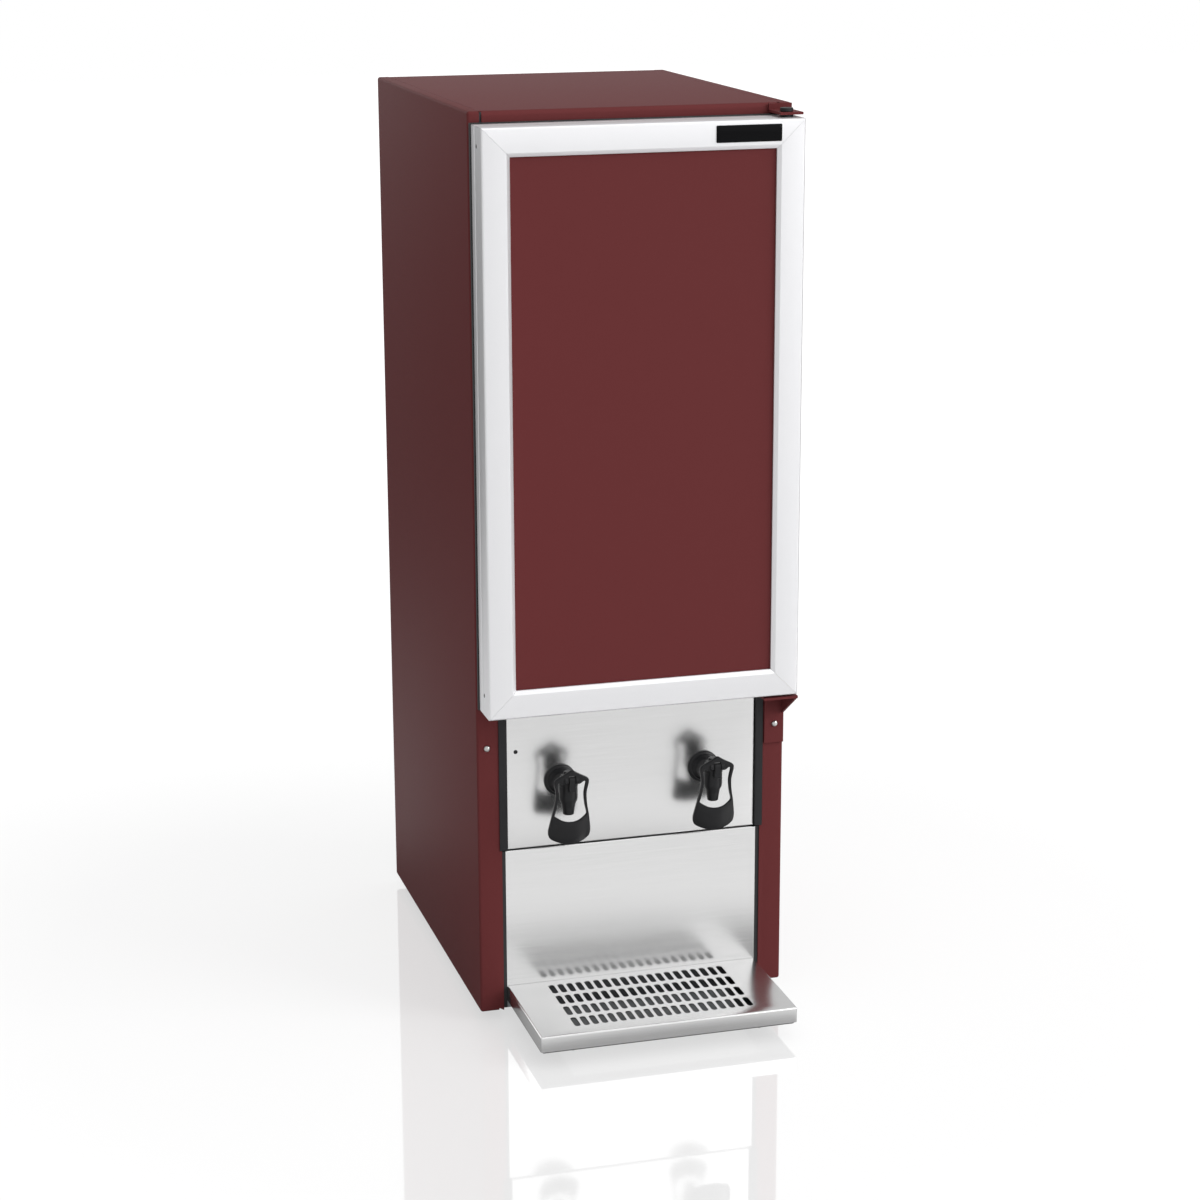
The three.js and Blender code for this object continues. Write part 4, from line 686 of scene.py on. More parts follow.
def screws_tree():
    """A pan-head screw with a cross recess at each point, turned to the point's normal."""
    tree, given = start_tree("Pan-head screws", {
        "Head radius": ("Float", 4 * MM), "Head height": ("Float", 2 * MM),
        "Recess": ("Float", 0.8 * MM)})
    radius, height = given["Head radius"], given["Head height"]
    dome = add(tree, "GeometryNodeMeshUVSphere", {"Segments": 24, "Rings": 16, "Radius": radius})
    flat = vector(tree, X=1.0, Y=1.0, Z=calculate(tree, "DIVIDE", height, radius))
    cap = transformed(tree, dome.outputs[0], Scale=flat)
    size = vector(tree, X=calculate(tree, "MULTIPLY", radius, RECESS_REACH), Y=given["Recess"],
                  Z=height)
    bar = add(tree, "GeometryNodeMeshCube", {"Size": size}).outputs[0]
    first = transformed(tree, bar, Translation=vector(tree, Z=height))
    second = transformed(tree, first, Rotation=(0, 0, math.pi / 2))
    head = cut_from(tree, cap, joined(tree, first, second))
    normal = add(tree, "GeometryNodeInputNamedAttribute", {"Name": "facing"},
                 data_type="FLOAT_VECTOR").outputs[0]
    turn = add(tree, "FunctionNodeAlignRotationToVector", {"Vector": normal}, axis="Z").outputs[0]
    return finish_tree(tree, on_points(tree, given[0], head, Rotation=turn), given["Finish"])


RECESS_SHARE = 0.24  # of the head's radius


def screws(name, places, facing, finish, body, radius=3.4, height=1.8, replaced=()):
    """Screws at places, all facing one way, as one piece on one body."""
    mesh = mesh_from(name, places, [])
    mark = mesh.attributes.new("facing", "FLOAT_VECTOR", "POINT")
    mark.data.foreach_set("vector", [c for _ in places for c in facing])
    made = grown(name, mesh, screws_tree(), {
        "Head radius": radius * MM, "Head height": height * MM,
        "Recess": radius * RECESS_SHARE * MM, "Finish": FINISHES[finish]})
    return piece(name, made, finish, body, replaced)


def row_tree(name, shape):
    """Copies of a shape along a line: count, first place and step are inputs."""
    tree, given = start_tree(name, {
        "Count": ("Int", 5), "First": ("Vector", (0, 0, 0)), "Step": ("Vector", (0, 0, 0.01)),
        "Size": ("Vector", (1, 1, 1))})
    line = add(tree, "GeometryNodeMeshLine", {
        "Count": given["Count"], "Start Location": given["First"], "Offset": given["Step"]},
        mode="OFFSET")
    part = given[0]
    if shape == "bar":
        part = add(tree, "GeometryNodeMeshCube", {"Size": given["Size"]}).outputs[0]
    return finish_tree(tree, on_points(tree, line.outputs[0], part), given["Finish"])


def repeated(name, mesh, count, first, step, finish, size=None):
    """Copies of a mesh, or of a bar of the given size, in a straight row."""
    tree = row_tree(name, "bar" if size else "mesh")
    values = {"Count": count, "First": first, "Step": step, "Finish": FINISHES[finish]}
    if size:
        values["Size"] = size
    return grown(name, mesh or mesh_from(name, [(0, 0, 0)], []), tree, values)


def perforated_tree():
    """A plate with round-ended slots on a grid taken out of it."""
    tree, given = start_tree("Slotted plate", {
        "Columns": ("Int", 20), "Rows": ("Int", 4), "Width": ("Float", 0.18),
        "Depth": ("Float", 0.09), "Middle": ("Vector", (0, 0, 0)),
        "Slot width": ("Float", 6.4 * MM), "Slot length": ("Float", 22.5 * MM),
        "Cut depth": ("Float", 20 * MM)})
    grid = add(tree, "GeometryNodeMeshGrid", {
        "Size X": given["Width"], "Size Y": given["Depth"], "Vertices X": given["Columns"],
        "Vertices Y": given["Rows"]})
    places = transformed(tree, grid.outputs[0], Translation=given["Middle"])
    straight = calculate(tree, "SUBTRACT", given["Slot length"], given["Slot width"])
    end = add(tree, "GeometryNodeMeshCylinder", {
        "Vertices": 24, "Radius": calculate(tree, "DIVIDE", given["Slot width"], 2.0),
        "Depth": given["Cut depth"]})
    ends = [transformed(tree, end.outputs[0], Translation=vector(
        tree, Y=calculate(tree, "DIVIDE", straight, way))) for way in (2.0, -2.0)]
    slot = add(tree, "GeometryNodeConvexHull", {0: joined(tree, *ends)}).outputs[0]
    cut = cut_from(tree, given[0], on_points(tree, places, slot), "EXACT")
    return finish_tree(tree, cut, given["Finish"])


# Places read from the frame
SIDE_LOW, SIDE_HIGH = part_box("side_panel_right")
FRONT, REAR = SIDE_LOW.y, SIDE_HIGH.y
BASE, TOP = SIDE_LOW.z, SIDE_HIGH.z
OUTER, FLANGE = SIDE_HIGH.x, SIDE_LOW.x
DOOR_LOW = Vector((*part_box("door_stile_left")[0].xy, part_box("door_rail_bottom")[0].z))
DOOR_HIGH = Vector((*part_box("door_stile_right")[1].xy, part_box("door_rail_top")[1].z))
TAP_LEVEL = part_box("tap_panel")[0].z + 71 * MM


def middle_of(node):
    """A CAD node's low and high corner, and its middle."""
    low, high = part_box(node)
    return low, high, (low + high) / 2


def at_corners(xs, y, zs):
    return [(x, y, z) for x in xs for z in zs]


def side_panel_mesh(settings):
    """A side sheet with its flanges: wide at the front, narrow at the top and rear."""
    gap, turn_in = 0.3 * MM, 20 * MM
    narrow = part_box("top_panel")[1].x + gap
    foot, notch = OUTER - turn_in, TOP - turn_in
    corners = {
        "a": (OUTER, FRONT, BASE), "b": (OUTER, REAR, BASE), "c": (OUTER, REAR, TOP),
        "d": (OUTER, FRONT, TOP), "e": (FLANGE, FRONT, BASE), "f": (FLANGE, FRONT, notch),
        "g": (narrow, FRONT, notch), "h": (narrow, FRONT, TOP), "i": (narrow, REAR, TOP),
        "j": (narrow, REAR, BASE), "k": (foot, FRONT, BASE), "l": (foot, REAR, BASE),
    }
    faces = ["abcd", "akefghd", "bjic", "dhic", "akljb"]
    inside = (0, (FRONT + REAR) / 2, (BASE + TOP) / 2)
    return formed_sheet("side", corners, faces, inside, settings.sheet, settings.bend)


class BuildCabinet(bpy.types.Operator):
    """Builds the painted shell with its panels, feet and screws"""

    bl_idname = "dispenser.build_cabinet"
    bl_label = "Cabinet shell"

    def execute(self, context):
        settings = context.scene.wine_cabinet
        for name, side in SIDES:
            node = f"side_panel_{name}"
            piece(f"cabinet_{node}", sided(side_panel_mesh(settings), side), "paint", "cabinet",
                  [node])
        self.top(settings)
        self.foam(settings)
        self.rear(settings)
        self.grille()
        self.feet()
        return {"FINISHED"}

    def top(self, settings):
        """The folded top panel, and the seals in its front corners, whose black rubber is painted shade in the
        slots there.
        """
        low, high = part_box("top_panel")
        lip, behind_lip = 2 * MM, 2.4 * MM
        corners = {
            "a": (low.x, FRONT, TOP), "b": (low.x + lip, FRONT, TOP),
            "c": (high.x - lip, FRONT, TOP), "d": (high.x, FRONT, TOP),
            "e": (high.x, REAR, TOP), "f": (low.x, REAR, TOP),
            "g": (low.x + lip, FRONT, low.z), "h": (high.x - lip, FRONT, low.z),
            "i": (high.x, REAR, low.z), "j": (low.x, REAR, low.z),
        }
        mesh = formed_sheet("top", corners, ["abcdef", "gbch", "feij"],
                            (0, 0, TOP - 0.1), settings.sheet, settings.top_bend, 8)
        piece("cabinet_top", mesh, "paint", "cabinet", ["top_panel"])
        # Black rubber closing the slot at each end of the top's lip: a seal, and painted shade in those slots.
        seal = box_mesh("seal", (low.x - 1 * MM, FRONT + settings.sheet, low.z),
                        (low.x + lip, FRONT + behind_lip, TOP - settings.sheet))
        piece("top_corner_shade_seals", join_meshes(mirrored(seal.copy()), seal), "rubber", "cabinet",
              edge=0.2 * MM)

    def foam(self, settings):
        """The insulation, rounded where it fills the top panel's front fold."""
        low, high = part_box("insulation_foam")
        mesh, near = merged_copy("insulation_foam"), 0.1 * MM
        bm = bmesh.new()
        bm.from_mesh(mesh)
        fold = [e for e in bm.edges
                if all(v.co.y < low.y + near and v.co.z > high.z - near for v in e.verts)]
        bmesh.ops.bevel(bm, geom=fold, offset=settings.top_bend, segments=6, profile=0.5,
                        affect="EDGES")
        piece("insulation_filling", bm, "foam", "cabinet", ["insulation_foam"])

    def rear(self, settings):
        """The back sheet with its stiffening beads."""
        low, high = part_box("back_panel")
        inset, rib, beads = 18 * MM, 2.2 * MM, 5
        sheet = folded_box("back", low, high, ["rear"], settings.sheet, settings.panel_bend)
        step = (high.z - low.z - 2 * inset) / (beads - 1)
        bead = prism("bead", filleted(rectangle(low.x + inset, 0, high.x - inset, rib * 3), rib),
                     "y", high.y - rib * 0.2, high.y + rib * 0.55)
        row = repeated("beads", bead, beads, (0, 0, low.z + inset), (0, 0, step), "zinc")
        piece("rear_sheet", join_meshes(sheet, row), "zinc", "cabinet", ["back_panel"],
              edge=0.3 * MM)
        beside, above = 7 * MM, 9 * MM
        screws("rear_sheet_screws", at_corners(
            (low.x + beside, high.x - beside), high.y,
            (low.z + above, (low.z + high.z) / 2, high.z - above)), (0, 1, 0), "bright", "cabinet")

    def grille(self):
        """The hoods over the rear grille's slots, and its screws."""
        low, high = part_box("rear_grille")
        rows, pitch, lowest = 9, 14 * MM, low.z + 144.3 * MM
        out, drop, sheet = high.y + 0.9 * MM, 4.2 * MM, 0.4 * MM
        hood = prism("hood", filleted([(high.y, 0), (out, -3 * sheet), (out, -drop),
                                       (high.y, -sheet)], sheet / 2), "x", 25 * MM, 149 * MM)
        halves = [repeated("hoods", mesh, rows, (0, 0, lowest), (0, 0, pitch), "enamel")
                  for mesh in (mirrored(hood.copy()), hood)]
        piece("rear_grille_hoods", join_meshes(*halves), "enamel", "cabinet")
        beside, below, above = 7 * MM, 14 * MM, 8 * MM
        screws("rear_grille_screws", at_corners(
            (low.x + beside, 0, high.x - beside), high.y, (low.z + below, high.z - above)),
            (0, 1, 0), "bright", "cabinet")

    def feet(self):
        """Ribbed rubber feet that narrow towards the floor."""
        toe, rib, hollow, ribs = 10 * MM, 0.6 * MM, 0.8 * MM, 4
        for node in [n for n in frame["nodes"] if n.startswith("foot_")]:
            low, high, middle = middle_of(node)
            radius, tall = (high.x - low.x) / 2, high.z - low.z
            profile = [(0, hollow), (toe * 0.6, hollow), (toe * 0.7, 0), (toe - rib, 0),
                       (toe, rib)]
            for share in (k / ribs for k in range(1, ribs)):
                level, wide = tall * share, toe + (radius - toe) * share
                profile += [(wide - rib, level - rib), (wide, level), (wide, level + rib)]
            profile += [(radius, tall - rib), (radius - rib, tall), (0, tall)]
            mesh = turned(node, profile, "z", (middle.x, middle.y, low.z))
            piece("rubber_" + node, mesh, "rubber", "cabinet", [node], sharp=50)


class BuildFront(bpy.types.Operator):
    """Builds the steel panels below the door, their trim strips and the hinge brackets"""

    bl_idname = "dispenser.build_front"
    bl_label = "Front panels and hinges"

    def execute(self, context):
        settings = context.scene.wine_cabinet
        self.tap_panel(settings)
        self.splash_panel(settings)
        self.trims()
        self.brackets()
        return {"FINISHED"}

    def tap_panel(self, settings):
        """The folded panel with a hole for each tap and a small plug."""
        low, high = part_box("tap_panel")
        mesh = folded_box("tap_panel", low, high, ["front", "bottom", "left", "right"],
                          settings.sheet, settings.panel_bend)
        hole, through = 7.5 * MM, 20 * MM
        holes = [turned("hole", [(0, -through), (hole, -through), (hole, through), (0, through)],
                        "y", (middle_of(f"bag_connector_{name}")[2].x, low.y, TAP_LEVEL), 40)
                 for name, _ in SIDES]
        piece("tap_panel_sheet", carved("tap_panel", mesh, holes), "steel", "cabinet",
              ["tap_panel"])
        plug = turned("plug", heights(0, [(0, -1.1), (1.2, -1), (2, -0.5), (2.2, 0), (0, 0)]),
                      "y", (low.x + 10 * MM, low.y, TAP_LEVEL + 34 * MM), 24)
        piece("tap_panel_plug", plug, "trim", "cabinet")

    def splash_panel(self, settings):
        """The lower panel, and the foam seals that close the gap at its sides. The seals' dark rubber, reaching
        down over the base pan's corners, is painted shade for that gap.
        """
        low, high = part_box("splash_panel")
        mesh = folded_box("splash_panel", low, high, ["front", "top"], settings.sheet,
                          settings.panel_bend)
        piece("splash_panel_sheet", mesh, "steel", "cabinet", ["splash_panel"])
        # Dark seals in the gaps beside the panel, down to the base: painted shade in those gaps.
        lap = 2 * MM
        seal = box_mesh("seal", (high.x, FRONT + settings.sheet + 0.2 * MM, BASE + lap),
                        (FLANGE + lap, high.y, high.z))
        piece("splash_panel_shade_seals", join_meshes(mirrored(seal.copy()), seal), "rubber",
              "cabinet", edge=0.3 * MM)

    def trims(self):
        """The dark strips beside the tap panel."""
        for name, side in SIDES:
            node = f"trim_strip_{name}"
            low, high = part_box(node)
            near, far = sorted((abs(low.x), abs(high.x)))
            edge = 0.5 * MM
            wall = FLANGE - 0.3 * MM
            outline = filleted([
                (near, low.y, edge), (far, low.y, edge), (far, low.y + 1 * MM, 0.2 * MM),
                (wall, low.y + 1 * MM, 0), (wall, high.y, edge), (near, high.y, edge)], edge)
            mesh = sided(prism(node, outline, "z", low.z, high.z), side)
            piece(node + "_section", mesh, "trim", "cabinet", [node],
                  edge=0.2 * MM)

    def brackets(self):
        """The hinge brackets and their pins, and a screw in each front flange."""
        for node in ("lower_hinge_bracket", "upper_hinge_bracket"):
            piece(node + "_plate", merged_copy(node), "paint", "cabinet", [node],
                  edge=0.5 * MM, steps=3)
        for node in ("lower_hinge_pin", "upper_hinge_pin"):
            piece(node + "_turned", merged_copy(node), "trim", "cabinet", [node],
                  edge=0.4 * MM)
        seat = 2.4 * MM
        for node in ("flange_screw_left", "flange_screw_right"):
            low, _, middle = middle_of(node)
            screws(node + "_head", [(middle.x, low.y + seat, middle.z)], (0, -1, 0), "bright",
                   "cabinet", height=2.4, replaced=[node])


def door_section(settings):
    """A frame bar's section: inward from the door's edge, back from its face."""
    face, inner = settings.face, settings.face + settings.lip
    deep = DOOR_HIGH.y - DOOR_LOW.y
    wall, back, step, lip_end = 1.8 * MM, 14 * MM, 3 * MM, 5 * MM
    groove, groove_depth, small, soft = deep - 12 * MM, 0.5 * MM, 0.2 * MM, 0.5 * MM
    return filleted([
        (0, 0, settings.edge), (face, 0, 0.8 * MM), (inner, step, 0.6 * MM),
        (inner, lip_end, small), (inner - wall, lip_end, small), (face - wall, wall, soft),
        (wall, wall, soft), (wall, deep - wall, soft), (back, deep - wall, small),
        (back, deep, 0.4 * MM), (0, deep, 0.8 * MM), (0, groove, small),
        (groove_depth, groove - 0.6 * MM, small), (groove_depth, groove - 1.8 * MM, small),
        (0, groove - 2.4 * MM, small)], 0.3 * MM, 4)


def mitred_bar(name, section, axis, edge, inward, low, high, gap):
    """A section run along x or z between two mitres, (u, v) being inward and back."""
    points = []
    for end, sign in ((low, 1), (high, -1)):
        for u, v in section:
            place = end + sign * (u + gap)
            depth = DOOR_LOW.y + v
            across = edge + inward * u
            points.append((place, depth, across) if axis == "x" else (across, depth, place))
    count = len(section)
    faces = [tuple(range(count)), tuple(range(count, 2 * count))]
    faces += [(i, (i + 1) % count, (i + 1) % count + count, i + count) for i in range(count)]
    return consistent(mesh_from(name, points, faces))


class BuildDoor(bpy.types.Operator):
    """Builds the door: mitred frame, inset panel, foam, lining, gasket and plate"""

    bl_idname = "dispenser.build_door"
    bl_label = "Door"

    def execute(self, context):
        settings = context.scene.wine_door
        section = door_section(settings)
        gap = 0.1 * MM
        low, high = DOOR_LOW, DOOR_HIGH
        bars = {
            "door_stile_left": ("z", low.x, 1, low.z, high.z),
            "door_stile_right": ("z", high.x, -1, low.z, high.z),
            "door_rail_bottom": ("x", low.z, 1, low.x, high.x),
            "door_rail_top": ("x", high.z, -1, low.x, high.x),
        }
        for node, (axis, edge, inward, start, end) in bars.items():
            mesh = mitred_bar(node, section, axis, edge, inward, start, end, gap)
            piece(node + "_section", mesh, "aluminium", "door", [node])
        self.panel()
        self.lining()
        self.gasket()
        self.plate()
        self.side_screws()
        return {"FINISHED"}

    def panel(self):
        """The inset panel and the foam behind it."""
        sheet = box_mesh("door_panel", *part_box("door_panel"))
        piece("door_panel_sheet", sheet, "paint", "door", ["door_panel"],
              edge=0.3 * MM)
        piece("door_foam_filling", merged_copy("door_foam"), "foam", "door", ["door_foam"],
              edge=1 * MM)

    def lining(self):
        """The vacuum-formed lining: a raised border round a sunk field."""
        low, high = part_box("door_liner")
        inset, deep, corner, least = 26 * MM, 3.5 * MM, 10 * MM, 1.5 * MM
        back, first = high.y, low.y + 0.2 * MM
        rings = []
        for shrink, y in ((0, low.y), (0, back), (inset, back), (inset + 5 * MM, back - deep),
                          (inset + 12 * MM, back - deep), (inset + 15 * MM, back - 1 * MM)):
            outline = filleted(rectangle(low.x + shrink, low.z + shrink, high.x - shrink,
                                         high.z - shrink), max(least, corner - shrink * 0.1), 5)
            rings.append([(u, max(y, first) if shrink else y, v) for u, v in outline])
        piece("door_lining", stacked("door_liner", rings), "lining", "door", ["door_liner"],
              sharp=40)

    def gasket(self):
        """The gasket's section run round the door, with a skirt that is wider on the free side. The skirt's dark
        rubber in the gap beside the door is painted shade for that gap.
        """
        low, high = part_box("door_gasket")
        # The skirt and its extra reach on the free side put dark rubber in the door's side gap: painted shade.
        wide, skirt, gap_shade_reach, foot = 14 * MM, 6 * MM, 4 * MM, 0.5 * MM
        deep, waist, tight, soft = high.y - low.y, 2.5 * MM, 0.3 * MM, 1.2 * MM
        profile = filleted([
            (foot, 0), (wide - foot, 0), (wide - foot, deep * 0.2),
            (wide - waist, deep * 0.35, 0.5 * MM), (wide, deep * 0.5, 0.8 * MM),
            (wide, deep, soft), (-1 * MM, deep, soft), (-skirt, deep * 0.8, 0.4 * MM),
            (-skirt, deep * 0.1)], tight, 3)
        points, count = [], len(profile)
        for cx, cz in ((0, 0), (1, 0), (1, 1), (0, 1)):
            for u, v in profile:
                reach = gap_shade_reach if u < 0 and cx == 0 else 0
                x = low.x + u - reach if cx == 0 else high.x - u
                z = low.z + u if cz == 0 else high.z - u
                points.append((x, low.y + v, z))
        faces = []
        for corner in range(4):
            a, b = corner * count, ((corner + 1) % 4) * count
            faces += [(a + i, a + (i + 1) % count, b + (i + 1) % count, b + i)
                      for i in range(count)]
        mesh = consistent(mesh_from("door_gasket", points, faces))
        piece("door_seal", mesh, "rubber", "door", ["door_gasket"])

    def plate(self):
        """A blank plate under a dome of clear resin, whose upper rim catches the light."""
        low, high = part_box("name_plate")
        rings = []
        for inset, rise in ((-0.8, -1.5), (-0.8, -0.9), (-0.3, -0.2), (0.6, 0.3), (2, 0.7),
                            (3.6, 0.9)):
            by = inset * MM
            outline = filleted(rectangle(low.x + by, low.z + by, high.x - by, high.z - by),
                               1.2 * MM, 5)
            rings.append([(u, low.y - rise * MM, v) for u, v in outline])
        piece("blank_plate", stacked("plate", rings), "plate", "door", ["name_plate"],
              sharp=60)

    def side_screws(self):
        """Two small socket screws in the free stile's edge."""
        y, profile = DOOR_LOW.y + 20 * MM, [(0, -0.2), (1.4, -0.2), (2.1, 0), (2.3, 0.2), (0, 0.2)]
        sockets = [turned("socket", heights(0, profile), "x", (DOOR_LOW.x, y, z), 20)
                   for z in (DOOR_LOW.z + 21 * MM, DOOR_HIGH.z - 19 * MM)]
        piece("door_side_screws", join_meshes(*sockets), "trim", "door")


# Outline of a tap lever as shares of its half width and its length below the pivot
LEVER_OUTER_SHARES = (
    (0, 0.166), (0.058, 0.163), (0.223, 0.128), (0.411, 0.091), (0.696, 0.041), (0.799, 0.011),
    (0.826, -0.028), (0.799, -0.078), (0.754, -0.142), (0.723, -0.237), (0.772, -0.4),
    (0.875, -0.563), (0.96, -0.723), (1, -0.816), (0.991, -0.872), (0.92, -0.922),
    (0.714, -0.955), (0.402, -0.984), (0.134, -1), (0, -1))
LEVER_INNER_SHARES = (
    (0, -0.06), (0.379, -0.057), (0.5, -0.026), (0.589, -0.013), (0.647, -0.034),
    (0.647, -0.071), (0.612, -0.142), (0.589, -0.237), (0.652, -0.4), (0.746, -0.532),
    (0.696, -0.567), (0.379, -0.617), (0.134, -0.635), (0, -0.636))
PADDLE_TOP = 36 * MM  # below the pivot, where the flat arms end
PADDLE_BLEND = 8 * MM


CURVE_STEPS = 12  # between two points of an outline


def smooth_half(shares, count):
    """Even points along a smooth curve through half an outline, from top to bottom."""
    pts = [Vector(p) for p in shares]
    pts = [Vector((-pts[1].x, pts[1].y)), *pts, Vector((-pts[-2].x, pts[-2].y))]
    dense = []
    for a, b, c, d in zip(pts, pts[1:], pts[2:], pts[3:]):
        for t in (k / CURVE_STEPS for k in range(CURVE_STEPS)):
            dense.append(0.5 * ((2 * b) + (c - a) * t + (2 * a - 5 * b + 4 * c - d) * t * t
                                + (3 * b - a - 3 * c + d) * t ** 3))
    dense.append(pts[-2])
    run = [0.0]
    for a, b in zip(dense, dense[1:]):
        run.append(run[-1] + (b - a).length)
    out, j = [], 0
    for want in (run[-1] * k / (count - 1) for k in range(count)):
        while j < len(run) - 2 and run[j + 1] < want:
            j += 1
        part = (want - run[j]) / max(run[j + 1] - run[j], 1e-9)
        out.append(dense[j].lerp(dense[j + 1], min(1, part)))
    return out


def smooth_step(t):
    t = max(0.0, min(1.0, t))
    return t * t * (3 - 2 * t)


def lever_loop(settings):
    """The lever's loop about its pivot: front and back skins between its two outlines."""
    count, rim, blunt = 48, 1.3 * MM, 0.35
    outer = smooth_half(LEVER_OUTER_SHARES, count)
    inner = smooth_half(LEVER_INNER_SHARES, count)
    points, rows = [], []
    for sign, turns in ((1, range(count)), (-1, range(count - 2, 0, -1))):
        for i in turns:
            wide = Vector(((outer[i].x - inner[i].x) * settings.half_width,
                           (outer[i].y - inner[i].y) * settings.reach)).length
            steps = [0, rim * 0.3, rim, wide / 3, wide / 2]
            steps += [wide - step for step in reversed(steps[:-1])]
            row = []
            for face, step in [(-1, s) for s in steps] + [(1, s) for s in reversed(steps)]:
                share = outer[i].lerp(inner[i], step / wide)
                x, z = share.x * settings.half_width, share.y * settings.reach
                start = smooth_step((-z - PADDLE_TOP) / PADDLE_BLEND)
                bow = (math.sqrt(settings.bow ** 2 - x * x) - settings.bow + settings.bulge)
                thick = settings.arms + (settings.paddle - settings.arms) * start
                near = min(1, min(step, wide - step) / rim)
                half = thick / 2 * (blunt + (1 - blunt) * math.sqrt(1 - (1 - near) ** 2))
                row.append(len(points))
                points.append((x * sign, face * half - bow * start, z))
            rows.append(row)
    faces = []
    for a, b in zip(rows, rows[1:] + rows[:1]):
        faces += [(a[k], a[(k + 1) % len(a)], b[(k + 1) % len(a)], b[k]) for k in range(len(a))]
    return consistent(mesh_from("lever", points, faces))


# Profiles of the taps' turned parts: radius and height in millimetres
COLLAR = ((0, 0), (17, 0), (17, -1.6), (16.4, -2.6), (15, -3.4), (14.2, -3.6), (13.4, -5),
          (11.4, -5.4), (10.4, -6.6), (9.5, -8.6))
BARREL = ((0, 9.7), (6.6, 9.7), (6.6, 10), (9.4, 10), (10, 9.4), (10, 5), (9.7, 4.6), (9.7, -7),
          (9.3, -10.5), (7.6, -14), (6.6, -19), (5.9, -24), (5.7, -25.6), (5.2, -26), (3.4, -26),
          (3, -25.4), (3, -10), (0, -10))
BONNET = ((2.6, 10.3), (8.6, 10.3), (9, 10.8), (9, 13.3), (8.2, 14.3), (7.4, 14.5), (2.6, 14.5),
          (2.6, 10.3))
PLUG = ((0, 0), (4.6, 0), (5.2, 0.6), (5.2, 2.4), (4.6, 3), (2, 3))
STEM_HEAD = ((2, -2.5), (4.6, -2.5), (5, -2.1), (5, -0.9), (4.1, 0), (0, 0))


